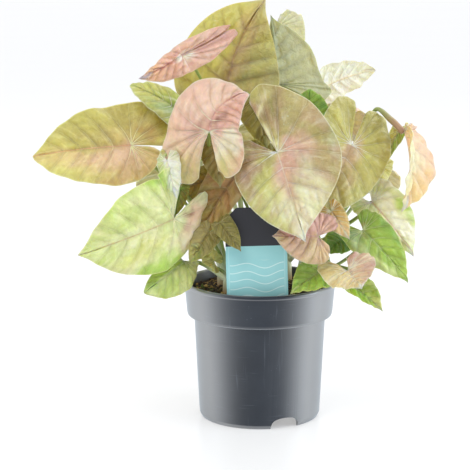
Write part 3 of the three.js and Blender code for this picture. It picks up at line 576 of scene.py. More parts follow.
PAINTS = {
    "left_broad": paint("olive", "tan", (
        ("khaki", 0.4, 0.5, 0.5, 0.6, 0.5), ("lime", -0.8, 0.75, 0.7, 0.6, 0.75),
        ("khaki", 0.5, 0.3, 0.5, 0.6, 0.4), ("lime", 0.6, 0.6, 0.6, 0.6, 0.4),
        ("blush", -0.3, 0.0, 0.6, 0.7, 0.7), ("khaki", 0.4, -0.4, 0.6, 0.5, 0.7),
        # The moss wash at the end of the upper lobe paints the shade under its fold.
        ("moss", 0.6, -1, 0.7, 0.5, 0.6), ("tan", 0.25, 0.1, 0.3, 0.5, 0.4),
        ("amber", 0.35, -0.5, 0.35, 0.5, 0.6), ("khaki", 0.7, -0.3, 0.5, 0.6, 0.5),
        ("moss", 0.5, 0.3, 1.0, 1.2, 0.22), ("mauve", -0.5, 0, 0.9, 0.8, 0.3),
        ("olive", 0, 0.95, 1.4, 0.5, 0.5),
    ), rib="peach", streak="khaki", crumple=0.75),
    "left_folded": paint("lime", "lime", (
        ("green", 0.3, 0.1, 1.0, 0.5, 0.7), ("sage", -0.4, 0.1, 0.6, 0.5, 0.7),
        ("deep", 0.2, -0.3, 0.9, 0.5, 0.7), ("milk", 0.3, 0.1, 0.12, 0.5, 0.4),
    ), "milk", rib="mint", streak="green", crumple=1.4),
    "top_pink": paint("pink", "pink", (
        ("blush", 0.6, -0.3, 0.7, 0.6, 0.6), ("mauve", -0.4, -0.5, 0.4, 0.4, 0.5),
        ("peach", 0, 0.7, 1, 0.4, 0.4), ("mauve", 0.2, -0.8, 0.3, 0.4, 0.4),
        ("blush", -0.8, -0.2, 0.4, 0.6, 0.5), ("milk", 0, 0.02, 0.6, 0.22, 1),
    ), "blush", streak="mauve", under="blush", crumple=2.3),
    "top_broad": paint("khaki", "olive", (
        ("moss", 0.4, 0.5, 0.8, 0.8, 0.3), ("sage", 0.5, 0.4, 0.7, 0.8, 0.3),
        ("lime", -0.8, 0.6, 0.5, 0.5, 0.45), ("mauve", 0, 0.35, 0.3, 0.8, 0.4),
        # The moss wash on the lower left paints the shade that falls there.
        ("tan", 0.5, 0.05, 0.6, 0.4, 0.4), ("moss", -0.6, -0.1, 0.6, 0.4, 0.85),
        ("olive", 0.6, 0.7, 0.4, 0.4, 0.5), ("grey", 0.8, 0.2, 0.3, 0.5, 0.3),
    ), "tan", rib="tan", streak="olive", crumple=1.5),
    "front_pink": paint("pink", "blush", (
        ("tan", 0.6, -0.7, 1.0, 0.9, 0.95), ("cream", 0.5, -0.3, 0.5, 0.5, 0.6),
        ("tan", -0.6, -0.7, 0.9, 0.9, 0.9), ("lime", -0.6, -0.85, 0.8, 0.5, 0.6),
        ("mauve", 0.3, 0.3, 0.3, 0.45, 0.6), ("mauve", -0.35, 0.0, 0.35, 0.35, 0.45),
        # The plum washes paint the shade in the folds beside the midrib.
        ("plum", 0.22, 0.28, 0.26, 0.36, 0.7), ("plum", -0.22, 0.02, 0.24, 0.22, 0.5),
        ("cream", 0.9, -0.1, 0.35, 0.5, 0.7), ("lime", 0.6, -0.85, 0.6, 0.5, 0.55),
        ("pink", -0.7, 0.2, 0.4, 0.6, 0.5),
    ), "cream", rib="blush", streak="pink", under="pink", crumple=1.6),
    "front_broad": paint("olive", "khaki", (
        ("khaki", 0.5, -0.4, 0.7, 0.6, 0.8), ("mauve", -0.3, 0.2, 0.6, 0.4, 0.5),
        ("khaki", 0.7, 0.1, 0.5, 0.5, 0.7), ("lime", -0.3, 0.8, 0.9, 0.5, 0.6),
        ("lime", 0.5, 0.6, 0.6, 0.5, 0.6), ("blush", 0, 0.3, 0.3, 0.6, 0.6),
        ("blush", -0.45, 0.1, 0.7, 0.25, 0.7), ("cream", -0.45, 0.5, 0.5, 0.45, 0.55),
        ("cream", 0, 0.72, 0.5, 0.35, 0.8), ("butter", 0, 0.7, 0.8, 0.4, 0.4),
        ("pink", -0.1, 0.05, 0.4, 0.25, 0.7), ("mauve", 0.75, 0.05, 0.4, 0.3, 0.6),
        ("khaki", -0.75, 0, 0.35, 0.4, 0.6), ("mauve", 0.2, -0.65, 0.3, 0.45, 0.75),
        ("sage", -0.95, -0.1, 0.25, 0.4, 0.5), ("khaki", -0.5, -0.5, 0.7, 0.5, 0.5),
        ("moss", 0.7, -0.1, 0.6, 0.6, 0.4), ("moss", -0.65, 0.05, 0.5, 0.5, 0.35),
        # The plum wash paints the shade along the crease of the upper lobe.
        ("plum", 0.27, -0.42, 0.24, 0.55, 0.75), ("moss", -0.2, -0.65, 0.22, 0.35, 0.7),
        ("butter", 0.06, -0.5, 0.09, 0.7, 0.9),
    ), "milk", rib="cream", streak="mauve", crumple=1.5),
    "right_broad": paint("olive", "olive", (
        ("tan", -0.1, 0.2, 0.5, 0.5, 0.7), ("lime", -0.6, -0.3, 0.5, 0.5, 0.4),
        ("khaki", 0.4, 0.7, 0.8, 0.5, 0.4), ("mauve", -0.1, 0.15, 0.4, 0.4, 0.6),
        ("tan", 0, 0.5, 0.6, 0.5, 0.5), ("moss", 0, -0.7, 1.2, 0.6, 0.45),
    ), "milk", rib="tan", streak="khaki", crumple=1.2),
    "right_lobe": paint("olive", "green", streak="moss", under="olive"),
    "right_rear": paint("moss", "olive", under="khaki"),
    "right_peach": paint("butter", "peach", (
        ("pink", -0.5, 0.3, 0.9, 0.9, 0.3), ("cream", 0.2, 0.4, 1.1, 0.9, 0.5),
        ("rust", 0, -0.7, 0.6, 0.45, 0.7), ("butter", -0.7, 0.95, 0.8, 0.3, 0.6),
        ("tan", 0.8, 0.5, 0.3, 0.8, 0.5), ("gold", -0.3, 0.7, 0.6, 0.4, 0.5),
        ("pink", 0.3, 0.1, 0.4, 0.5, 0.4), ("gold", 0.4, 0.75, 0.5, 0.4, 0.5),
    ), "cream", streak="pink", under="peach", stalk="rust", crumple=1.1, girth=1.8),
    # top_rear and rear_right are pale yellow; their milk washes and milk undersides are painted light shining
    # through them from behind.
    "top_rear": paint("lemon", "lemon", (
        ("milk", 0, 0.3, 1.2, 1, 0.6),
    ), "milk", streak="lemon", under="milk"),
    "rear_right": paint("lemon", "lemon", (
        ("milk", 0, 0.2, 1.3, 1.1, 0.8),
    ), "gold", streak="milk", under="milk"),
    "top_grey": paint("green", "sage", (), "mint", streak="grey", under="grey"),
    "inner_green": paint("deep", "deep", (("green", 0, 0.9, 1, 0.4, 0.5),), "green"),
    "inner_dark": paint("moss", "moss", (), "olive"),
    "low_left": paint("mint", "mint", (
        ("leafy", 0.95, 0.3, 0.45, 1.0, 0.9), ("leafy", -0.95, 0.3, 0.4, 1.0, 0.8),
        ("leafy", 0, 1, 0.8, 0.4, 0.5), ("cream", 0.4, -0.65, 0.35, 0.5, 0.5),
        ("sage", 0.8, -0.5, 0.5, 0.6, 0.7), ("blush", -0.3, -0.7, 0.6, 0.8, 1),
        ("blush", -0.35, -0.4, 0.5, 0.5, 0.7), ("cream", -0.5, -0.4, 0.35, 0.5, 0.9),
        # The plum wash paints the shade under the rolled edge of a lobe.
        ("mauve", -0.12, -0.35, 0.2, 0.35, 0.6), ("plum", -0.02, -0.35, 0.12, 0.3, 0.8),
        ("lime", -0.4, 0.4, 0.4, 0.4, 0.6), ("green", 0.45, 0.45, 0.4, 0.5, 0.4),
        ("blush", -0.45, -0.6, 0.6, 0.6, 0.5),
    ), "butter", rib="tan", streak="cream", crumple=0.85),
    "low_left_small": paint("green", "mint", (
        ("grey", -0.6, -0.5, 0.7, 0.7, 0.6), ("green", -0.5, 0.6, 0.7, 0.5, 0.55),
        ("green", 0, 0, 0.3, 0.6, 0.4),
    ), "mint", streak="green"),
    "inner_amber": paint("amber", "amber", (
        ("moss", 0.5, 0.7, 0.8, 0.6, 0.85), ("moss", -0.5, 0.8, 0.8, 0.4, 0.6),
        ("tan", -0.9, 0.2, 0.3, 0.6, 0.5), ("peach", 0, 0, 0.4, 0.4, 0.3),
    ), "tan", streak="olive"),
    "inner_tag": paint("moss", "moss", (), "khaki"),
    "low_rose": paint("pink", "tan", (
        ("peach", 0, -0.5, 1, 0.6, 0.6), ("mauve", -0.3, 0.5, 0.7, 0.6, 0.5),
        ("plum", 0.1, 0.75, 0.4, 0.3, 0.5),
    ), "blush", streak="pink", crumple=1.4),
    "low_orange": paint("gold", "gold", (("peach", 0, 0.7, 1, 0.5, 0.6),), "cream", streak="peach"),
    "low_dark": paint("deep", "deep", (), "green"),
    "low_right": paint("green", "green", (
        ("grey", 0.7, 0.3, 0.45, 0.6, 0.7), ("moss", 0.2, -0.2, 0.6, 0.6, 0.8),
        ("deep", -0.95, 0.2, 0.4, 0.9, 0.6), ("amber", -0.1, -0.2, 0.4, 0.3, 0.35),
        ("mint", 0.45, 0.7, 0.4, 0.25, 0.9), ("sage", 0.5, -0.1, 0.5, 0.5, 0.8),
        ("deep", -0.4, -0.3, 0.4, 0.5, 0.5),
    ), "mint", streak="green"),
    "right_cream": paint("mint", "cream", (
        ("milk", 0, -0.6, 1.2, 0.7, 0.8), ("leafy", -0.5, -0.2, 0.4, 0.4, 0.4),
        ("green", 0.85, 0.1, 0.35, 0.9, 0.6), ("leafy", -0.8, 0.4, 0.4, 0.7, 0.9),
        ("leafy", 0.5, -0.5, 0.35, 0.4, 0.7), ("green", -0.5, -0.6, 0.35, 0.4, 0.6),
        ("amber", 0.15, 0.4, 0.12, 0.5, 0.5), ("leafy", 0, 1, 0.5, 0.3, 0.7),
    ), "milk", rib="blush", streak="milk", under="cream", crumple=1.2),
    "low_olive": paint("tan", "mauve", (
        ("khaki", 0.6, -0.3, 0.9, 0.8, 0.5), ("moss", 0.1, 0.6, 0.4, 0.4, 0.4),
        ("blush", -0.9, -0.3, 0.4, 0.8, 0.6), ("mauve", -0.5, -0.3, 0.6, 0.6, 0.5),
        ("milk", -0.2, -0.1, 0.25, 0.4, 0.7), ("tan", 0, 0.5, 0.8, 0.5, 0.6),
        ("mauve", -0.1, -0.2, 0.3, 0.5, 0.4),
    ), "cream", crumple=1.3),
    "low_bud": paint("leafy", "green", (
        ("lime", 0, 0.9, 1, 0.4, 0.8), ("mint", 0, -0.5, 0.8, 0.6, 0.6),
    ), "mint"),
    "rim_green": paint("green", "green", (
        ("leafy", -0.6, 0.4, 0.6, 0.6, 0.7), ("moss", 0.5, -0.4, 0.6, 0.5, 0.6),
        ("amber", 0.2, 0.1, 0.3, 0.4, 0.3),
    ), "lime", streak="deep"),
    "left_curl": paint("lime", "green", stalk="mint"),
    "inner_olive": paint("moss", "moss", (("amber", 0, 0.3, 0.6, 0.5, 0.5),), "khaki", under="moss"),
    "inner_low": paint("olive", "moss", (), "lime"),
    "hidden_olive": paint("moss", "khaki", (("green", 0, -0.5, 1, 0.4, 0.6),), "olive", under="moss"),
    "hidden_pale": paint("mint", "cream", (
        ("milk", 0, 0.3, 0.6, 0.8, 0.8),
    ), "milk", streak="green", under="mint", stalk="mint"),
    "hidden_green": paint("deep", "moss", (), "green"),
    "hidden_brown": paint("moss", "khaki", (("amber", 0, 0.4, 0.6, 0.5, 0.5),), "khaki", under="moss"),
    "hidden_low": paint("khaki", "moss", (("green", 0, 0.8, 0.8, 0.4, 0.5),), "khaki"),
    "back_upper": paint("olive", "lime", (("tan", 0, 0.2, 0.5, 0.6, 0.7),), streak="khaki"),
    "back_left": paint("green", "lime", (("mint", 0, 0, 0.5, 0.6, 0.6),), "mint", streak="lime"),
    "back_right": paint("tan", "olive", (("pink", 0.1, 0.2, 0.5, 0.6, 0.7),), "cream", streak="khaki"),
    "back_middle": paint("khaki", "olive", (
        ("mauve", 0, 0.2, 0.4, 0.6, 0.5), ("lime", 0, 0.9, 1, 0.4, 0.6),
    ), "cream", streak="tan"),
    "back_low_left": paint("green", "green", (("deep", 0.4, 0, 0.5, 0.7, 0.5),), "mint", streak="lime"),
    "back_low_right": paint("sage", "green", (("mint", 0.3, 0.3, 0.5, 0.6, 0.5),), "mint"),
    "back_side": paint("lime", "green", (("mint", -0.3, 0.2, 0.5, 0.6, 0.5),), streak="green"),
    "back_high_right": paint("blush", "tan", (
        ("pink", 0, 0.3, 0.5, 0.7, 0.6), ("olive", 0, -0.9, 1.2, 0.4, 0.5),
    ), "cream", streak="mauve", crumple=1.3),
    "back_high_left": paint("olive", "khaki", (
        ("mauve", 0, 0.2, 0.4, 0.6, 0.5), ("lime", 0.8, 0.3, 0.4, 0.7, 0.5),
    ), streak="tan"),
    "back_rim": paint("green", "deep", (("lime", 0, 0.8, 0.8, 0.4, 0.5),), "green"),
}


# ---- blades ----
ROWS_LARGE, ROWS_SMALL = 8, 5  # rows of faces in a lane
LARGE_HALF = 16  # blades with a wider half have the larger number of rows
LANE_STEP = 0.004  # how far lanes are measured to either side
QUILT_LANE = 12  # lanes as wide as this or wider are quilted in full
RIB_WIDTH, VEIN_WIDTH = 0.9, 0.5
EDGE_THIN, EDGE_TAPER = 0.4, 1.5  # the margin's share of the thickness, and how far in that is felt
def blade_axes(leaf_):
    """The blade's own axes: across, along the chord from joint to tip, and out of its upper side."""
    chord = leaf_.tip - leaf_.base
    along = unit(chord)
    about, up = leaf_.face
    looks = np.array([math.sin(about) * math.cos(up), -math.cos(about) * math.cos(up), math.sin(up)])
    out = unit(looks - looks.dot(along) * along)
    return np.cross(along, out), along, out, np.linalg.norm(chord)


STRAIGHT = 1e-7  # bend of an arc that counts as straight


def arc_point(angle, bend, distance):
    """A point on an arc that leaves at an angle to the chord and turns back by bend a millimetre."""
    bend = np.where(np.abs(bend) < STRAIGHT, STRAIGHT, bend)
    end = angle - bend * distance
    return (np.sin(angle) - np.sin(end)) / bend, (np.cos(end) - np.cos(angle)) / bend


def margin_at(t):
    """Places on the half outline as (across, along), on a smooth curve through its corners."""
    last = len(OUTLINE) - 1
    first = np.minimum((t * last).astype(int), last - 1)
    share = (t * last - first)[:, None]
    before, start = OUTLINE[np.maximum(first - 1, 0)], OUTLINE[first]
    end, after = OUTLINE[first + 1], OUTLINE[np.minimum(first + 2, last)]
    return hermite(start, end, (end - before) / 2, (after - start) / 2, share).T


def midrib_length(leaf_):
    return np.linalg.norm(leaf_.tip - leaf_.base) / sinc(leaf_.arch / 2) / sinc(leaf_.sway / 2)


def flat_point(leaf_, side, t, v):
    """Points of the flat blade as (across, along): t round the margin, v from the midrib out to it."""
    midrib = midrib_length(leaf_)
    edge_across, edge_along = margin_at(t)
    roundness = 1 - leaf_.full[side] * smooth(edge_along, 0.1, 0.5)
    slimness = 1 - leaf_.slim[side] * smooth(t, LOBE_START, LOBE_SLIM)
    across = (np.maximum(edge_across, 0) / OUTLINE_HALF) ** roundness * leaf_.half[side] * slimness
    along = edge_along * np.where(edge_along > 0, midrib, leaf_.lobe[side] / OUTLINE_LOBE)
    swing = leaf_.splay[side] * smooth(t, LOBE_START, LOBE_SWUNG)
    cos, sin = np.cos(swing), np.sin(swing)
    across, along = across * cos - along * sin, across * sin + along * cos
    start = midrib * np.maximum(0, 1 - t / FEATHERED)
    return np.array([across * v, start + (along - start) * v**VEIN_SWEEP])


def blade_point(leaf_, side, t, v, relief):
    """Where points of the blade's middle surface lie, with relief added on its upper side."""
    x, y, z, chord = blade_axes(leaf_)
    arch, sway, midrib = leaf_.arch, leaf_.sway, midrib_length(leaf_)
    w, s = flat_point(leaf_, side, t, v)
    ahead, behind = np.maximum(0, s), np.minimum(0, s)
    reach = np.minimum(1, np.abs(w) / leaf_.half[side])
    hand = 1 - 2 * side  # 1 on the right, -1 on the left
    turned = leaf_.twist * np.minimum(1, ahead / midrib)
    slope = leaf_.fold[side] + hand * turned + leaf_.curl[side] * reach / 2
    out = hand * w * np.cos(slope)
    ripple = np.sin(t * RIPPLES + side * 2 + leaf_.base[0]) * np.sin(t * math.pi)
    rise = w * np.sin(slope) + leaf_.wave * reach**2 * ripple + relief
    heading = sway / 2 - sway / midrib * ahead
    middle_along, middle_aside = arc_point(sway / 2, sway / midrib, ahead)
    level = middle_along + behind * np.cos(heading) - out * np.sin(heading)
    aside = middle_aside + behind * np.sin(heading) + out * np.cos(heading)
    droop = arch * sinc(arch / 2) / chord
    bend = np.where(level > 0, droop, droop - leaf_.lift / leaf_.lobe[side])
    bow_along, bow_aside = arc_point(arch / 2, bend, level)
    turn = arch / 2 - bend * level
    return (
        leaf_.base
        + aside[:, None] * x
        + (bow_along - np.sin(turn) * rise)[:, None] * y
        + (bow_aside + np.cos(turn) * rise)[:, None] * z
    )


def blade_grid(rows):
    """Points (side, t, v) of a blade, its faces on the upper side and its rim."""
    steps = [np.linspace(near, far, rows, endpoint=False) for near, far in zip(VEINS, VEINS[1:])]
    steps = np.concatenate([*steps, [1.0]])
    joint_row = int(np.argmin(np.abs(steps - FEATHERED)))
    points = [(0, t, 0.0) for t in steps[: joint_row + 1]]
    faces, halves = [], []
    for side in (0, 1):
        lines = [[0] * len(COLUMNS)]
        for row, t in enumerate(steps[1:], 1):
            first = len(points)
            points += [(side, t, v) for v in COLUMNS[1:]]
            lines.append([min(row, joint_row), *range(first, len(points))])
        for near, far in zip(lines, lines[1:]):
            for corners in zip(near, far, far[1:], near[1:]):
                single = tuple(dict.fromkeys(corners))
                if len(single) > 2:
                    faces.append(single[::-1] if side else single)
        halves.append(lines)
    right, left = halves
    rim = right[-1][:-1] + [line[-1] for line in right[:0:-1]] + [0]
    rim += [line[-1] for line in left[1:]] + left[-1][-2:0:-1]
    return np.array(points), faces, rim


def surface_normals(points, faces):
    """The mean direction of the faces round each point."""
    normals = np.zeros_like(points)
    for count in (3, 4):
        ring = np.array([face for face in faces if len(face) == count])
        area = np.cross(points[ring[:, 2]] - points[ring[:, 0]], points[ring[:, -1]] - points[ring[:, 1]])
        for corner in range(count):
            np.add.at(normals, ring[:, corner], area)
    return normals / np.linalg.norm(normals, axis=1)[:, None]


def painted(paint_, tones, across, along, shift):
    """The tone of each point: one for either half, with soft washes over them."""
    a = across + 0.09 * np.sin(along * 7 + shift) + 0.05 * np.sin(along * 17 - across * 9 + shift)
    b = along + 0.09 * np.sin(across * 8 - shift) + 0.05 * np.sin(across * 19 + along * 11)
    first, second = (tones[tone] for tone in paint_.halves)
    share = smooth(a, -0.12, 0.12)[:, None]
    blend = first * share + second * (1 - share)
    for tone, middle_a, middle_b, reach_a, reach_b, strength in paint_.washes:
        away = np.hypot((a - middle_a) / reach_a, (b - middle_b) / reach_b)
        share = (strength * (1 - smooth(away, 0.15, 1.0)))[:, None]
        blend = blend * (1 - share) + tones[tone] * share
    return blend


def opaque(tones):
    """Tones with the fourth value that a colour attribute has."""
    return np.hstack([tones, np.ones((len(tones), 1))])


def lane_at(t):
    """The number of the side vein that reaches the margin there, or a number between two."""
    return np.interp(t, VEINS, LANES)


def blade_measures(leaf_, keys):
    """Where each point lies on the flat blade, and how far from its midrib, veins and margin."""
    side, t, v = keys[:, 0].astype(int), keys[:, 1], keys[:, 2]
    across, along = flat_point(leaf_, side, t, v)
    lane = lane_at(t)
    reach_mm = np.hypot(*(flat_point(leaf_, side, t, 1.0) - flat_point(leaf_, side, t, 0.0)))
    low, high = np.maximum(t - LANE_STEP, 0), np.minimum(t + LANE_STEP, 1)
    moved = flat_point(leaf_, side, high, v) - flat_point(leaf_, side, low, v)
    lane_mm = np.hypot(*moved) / (lane_at(high) - lane_at(low))
    return SimpleNamespace(
        side=side, t=t, v=v, across=across, along=along, signed=(1 - 2 * side) * across,
        lane=lane, reach_mm=reach_mm, lane_mm=lane_mm,
        rib_mm=np.hypot(across, np.minimum(along, 0)),
        vein_mm=np.abs(lane - np.round(lane)) * lane_mm,
        edge_mm=np.minimum((1 - v) * reach_mm, (LANES[-1] - lane) * lane_mm),
        seed=leaf_.base[0] * 0.7 + leaf_.base[2],
    )


def blade_relief(at, crumple, quilting, frill):
    """How high each point stands over the smooth blade, and how much of that is quilting, from 0 to 1."""
    lane, seed = at.lane, at.seed
    inner = smooth(at.v, 0, 0.2) * (1 - smooth(at.v, 0.8, 1))
    between = np.abs(np.sin(math.pi * lane))
    quilt = between**0.75 * (0.75 + 0.35 * np.sin(np.floor(lane) * 2.4 + seed)) * inner
    ladder = np.sin(at.v * at.reach_mm * 0.95 + 1.6 * np.sin(lane * 2.3 + seed)) * between * inner
    ladder *= 0.5 + 0.5 * np.sin(np.floor(lane) * 4.1 + at.v * 5 + seed)
    relief = quilting * np.minimum(1, at.lane_mm / QUILT_LANE) * crumple * (quilt + 0.3 * ladder)
    buckle = np.sin(at.across * 0.11 + seed) * np.sin(at.along * 0.09 + 2 * seed)
    relief += 0.9 * buckle * smooth(at.rib_mm, 2, 15)
    dents = np.sin(at.across * 0.31 - at.along * 0.17 + seed) * np.sin(at.along * 0.27)
    relief += 0.35 * crumple * dents * inner
    waves = np.sin(at.t * 37 + seed) + 0.6 * np.sin(at.t * 71 - seed)
    relief += frill * at.v**3 * waves * smooth(at.t, 0.05, 0.2)
    return relief, quilt + 0.4 * ladder


def blade_tones(leaf_, paint_, tones, at):
    """Colours of each point's upper side and then of each point's underside, by attribute."""
    half, lobe = leaf_.half[at.side], leaf_.lobe[at.side]
    part_along = np.where(at.along > 0, at.along / midrib_length(leaf_), at.along / lobe)
    upper = painted(paint_, tones, at.signed / half, part_along, at.seed)
    under = 0.75 * tones[paint_.under] + 0.25 * upper
    colours = {"tone": opaque(np.vstack([upper, under]))}
    for label, own in (("trace", 0.5), ("rib", 0.5), ("streak", 0.3)):
        above = np.tile(tones[getattr(paint_, label)], (len(upper), 1))
        colours[label] = opaque(np.vstack([above, own * above + (1 - own) * under]))
    return colours


def blade_mesh(name, leaf_, paint_, tones, settings, finish):
    """A thin blade: quilted between its veins, grooved above and ribbed below them."""
    keys, faces, rim = blade_grid(ROWS_LARGE if max(leaf_.half) > LARGE_HALF else ROWS_SMALL)
    at = blade_measures(leaf_, keys)
    relief, rise = blade_relief(at, paint_.crumple, settings.quilting / MM, settings.frill / MM)
    middle = blade_point(leaf_, at.side, at.t, at.v, relief)
    normals = surface_normals(middle, faces)
    thick = settings.thickness / MM / 2 * (EDGE_THIN + (1 - EDGE_THIN) * smooth(at.edge_mm, 0, EDGE_TAPER))
    to_tip = np.clip(at.along / midrib_length(leaf_), 0, 1)
    rib = np.exp(-((at.rib_mm / RIB_WIDTH) ** 2)) * (1 - 0.85 * to_tip)
    vein = 0.4 * np.exp(-((at.vein_mm / VEIN_WIDTH) ** 2)) * (1 - smooth(at.v, 0.2, 0.9))
    upper = middle + normals * thick[:, None]
    lower = middle - normals * (thick + settings.rib / MM * np.maximum(rib, vein))[:, None]

    count = len(keys)
    seeds = np.full(count, at.seed)
    # rise, the quilting share, paints highlights on the crests and shade in the hollows of the blade skin.
    both = {
        "flat": np.stack([at.signed, at.along, seeds], 1),
        "fan": np.stack([at.lane + 20 * at.side, at.v * at.reach_mm / 10, seeds], 1),
        "out": at.v, "lane": at.lane, "lane_mm": at.lane_mm, "rib_mm": at.rib_mm,
        "edge_mm": np.maximum(at.edge_mm, 0), "rise": rise,
    }
    attributes = {label: np.concatenate([values, values]) for label, values in both.items()}
    attributes |= {"under": np.repeat([0.0, 1.0], count), **blade_tones(leaf_, paint_, tones, at)}
    closed = faces + [tuple(count + corner for corner in face[::-1]) for face in faces]
    closed += [(a, count + a, count + b, b) for a, b in zip(rim, rim[1:] + rim[:1])]
    return build_mesh(name, np.vstack([upper, lower]), closed, attributes, [finish])


def blade_finish():
    """Soft leaf skin: fine veins, streaks beside them, mottling and a thin pale rim, with painted shade in
    its hollows and painted highlights on its crests.
    """
    finish = Finish("Blade skin")
    flat, fan = (finish.attribute(name, "Vector") for name in ("flat", "fan"))
    tones = ("tone", "streak", "rib", "trace")
    tone, streak, rib, trace = (finish.attribute(name, "Color") for name in tones)
    lane, lane_mm, out, rise = (finish.attribute(name) for name in ("lane", "lane_mm", "out", "rise"))
    rib_mm, edge_mm, under = (finish.attribute(name) for name in ("rib_mm", "edge_mm", "under"))

    mottle = finish.noise(flat, 0.055, 4.0, 0.6)
    grain = finish.noise(flat, 0.9, 3.0)
    broad = finish.noise(finish.stretch(fan, (1.3, 0.45, 1.0)), 1.0, 3.0, 0.4)
    narrow = finish.noise(finish.stretch(fan, (4.0, 0.8, 1.0)), 1.0, 2.0, 0.5)
    crinkle = finish.noise(finish.stretch(flat, (1, 1, 0.2)), 0.2, 3.0, 0.6)
    wander = finish.noise(flat, 0.12, 2.0) * 0.16 - 0.08
    off = abs(lane + wander - (lane + wander).nearest()) * lane_mm
    width = 0.62 - out * 0.42
    vein = 1 - off.ease(width * 0.35, width)
    # The darkened valley beside each vein is painted shade.
    groove_shade = 1 - off.ease(0.2, 2.4)
    from_joint = finish.stretch(flat, (1, 1, 0))
    joint_mm = finish.node("ShaderNodeVectorMath", {"operation": "LENGTH"}, {0: from_joint}, "Value")
    close = 1 - joint_mm.ease(3.0, 24.0)
    mesh_lines = finish.cells(finish.stretch(flat, (1, 1, 0.2)), 0.26, "DISTANCE_TO_EDGE")
    network = 1 - mesh_lines.ease(0.0, 0.09)
    ridge = 1 - rib_mm.ease(0.2, 0.75)
    halo = 1 - rib_mm.ease(0.5, 3.0)
    rim = 1 - edge_mm.ease(0.25, 0.95)

    skin = finish.mix(broad.ease(0.4, 0.68) * 0.4, tone, streak)
    # Pale streaks along the veins: partly the leaf's own pale streaks, partly a painted sheen.
    skin = finish.mix(narrow.ease(0.48, 0.8) * 0.22, skin, trace)
    skin = finish.mix(network * (0.05 + under * 0.1), skin, trace)
    skin = finish.mix(vein * (0.2 + close * 0.75), skin, trace)
    skin = finish.mix(ridge * 0.55 + halo * 0.1, skin, rib)
    skin = finish.mix(rim * 0.35, skin, trace)
    # Brightness of the skin: rise lightens the quilted crests and darkens their hollows, and the vein grooves
    # are darkened, both painted highlight and painted shade; mottle, crinkle and grain are tone that varies
    # at random.
    shade = 0.435 + rise * 0.14 + mottle * 0.28 + narrow * 0.1 + crinkle * 0.36 + grain * 0.08 - groove_shade * 0.04
    veins_up = (under * 2 - 1) * (vein * 0.3 + ridge * 0.3 + network * 0.12)
    relief = veins_up * 0.5 + narrow * 0.4 + crinkle * 1.9 + grain * 0.12
    return finish.skin(
        Base_Color=finish.scale(skin, shade),
        Roughness=0.36 + mottle * 0.14 - vein * 0.06,
        Specular_IOR_Level=0.45,
        Subsurface_Weight=0.75,
        Subsurface_Radius=(1.0, 0.8, 0.35),
        Subsurface_Scale=0.0025,
        Sheen_Weight=0.06,
        Sheen_Roughness=0.5,
        Normal=finish.bump(relief, 0.0012, 0.8),
    )


# ---- stalks ----
def bezier(points, shares):
    """Points on the curve between the first and the last of four points."""
    a, b, c, d = points
    t = shares[:, None]
    return a * (1 - t) ** 3 + 3 * b * t * (1 - t) ** 2 + 3 * c * t**2 * (1 - t) + d * t**3


def through(points, shares):
    """A smooth curve through the points that doesn't overshoot where they lie unevenly."""
    points = [2 * points[0] - points[1], *points, 2 * points[-1] - points[-2]]
    spans = len(points) - 3
    curve = []
    for share in shares:
        place = share * spans
        first = min(int(place), spans - 1)
        p0, p1, p2, p3 = points[first : first + 4]
        d0, d1, d2 = (np.linalg.norm(b - a) ** 0.5 for a, b in ((p0, p1), (p1, p2), (p2, p3)))
        leaving = ((p1 - p0) / d0 - (p2 - p0) / (d0 + d1) + (p2 - p1) / d1) * d1
        arriving = ((p2 - p1) / d1 - (p3 - p1) / (d1 + d2) + (p3 - p2) / d2) * d1
        curve.append(hermite(p1, p2, leaving, arriving, place - first))
    return np.array(curve)


STALK_WIDE, STALK_THIN = 1.3, 1.0
STALK_WIDE_HALF = 20  # blades with a wider half have the thicker stalk
STALK_SINK = 6  # how far under the crown's top a stalk starts
STALK_STEPS, STALK_SIDES = 44, 12
# A stalk without a way to follow leans out, rises and bends under its blade.
STALK_LEAN, STALK_RISE, STALK_BEND = 0.25, 0.4, 0.3
STALK_UNDER, STALK_BEHIND, STALK_BELOW = 0.5, 0.4, 0.8
STALK_TIP = 0.15  # how far under the middle of the blade its last point lies
SOLID_BLADE, CLEARANCE = 0.8, 0.3  # of the packed blades, which the stalks end under
STALK_TAPER = 0.5  # how much thicker its foot is, less and less all the way up
STALK_FLARE, FLARE_REACH = 0.5, 0.12  # and once more, over this share of its length
STALK_SWELL, SWELL_PLACE, SWELL_REACH = 0.22, 0.955, 0.02  # the swelling under the blade
STALK_END = 0.45  # its last ring, inside the blade
CROWN_FOOT, CROWN_WAIST, CROWN_RADIUS = 88, 105, 4


def stalk_line(leaf_, radius):
    """The middle line of a leaf stalk, from its shoot to the blade's joint."""
    _, along, out, _ = blade_axes(leaf_)
    (x, y), top = SHOOTS[leaf_.shoot]
    start = np.array([x, y, top - STALK_SINK], float)
    slope = leaf_.arch / 2
    ahead = along * math.cos(slope) + out * math.sin(slope)
    above = out * math.cos(slope) - along * math.sin(slope)
    via = [np.array(point, float) for point in leaf_.via]
    down = np.array([0, 0, -STALK_BELOW]) - STALK_UNDER * above - STALK_BEHIND * ahead
    arrive = unit(via[-1] - leaf_.base if via else down)
    edge = radius * math.sqrt(max(0, 1 - arrive.dot(above) ** 2))
    end = leaf_.base - above * (SOLID_BLADE / 2 + CLEARANCE + edge) - ahead * radius / 2
    shares = np.linspace(0, 1, STALK_STEPS)
    if via:
        line = through([start, *via, end], shares)
    else:
        span = np.linalg.norm(end - start)
        lean = unit((end - start) * (1, 1, 0) * STALK_LEAN / span + (0, 0, 1))
        rise, bend = start + lean * span * STALK_RISE, end + arrive * span * STALK_BEND
        line = bezier((start, rise, bend, end), shares)
    return np.vstack([line, leaf_.base - above * STALK_TIP])


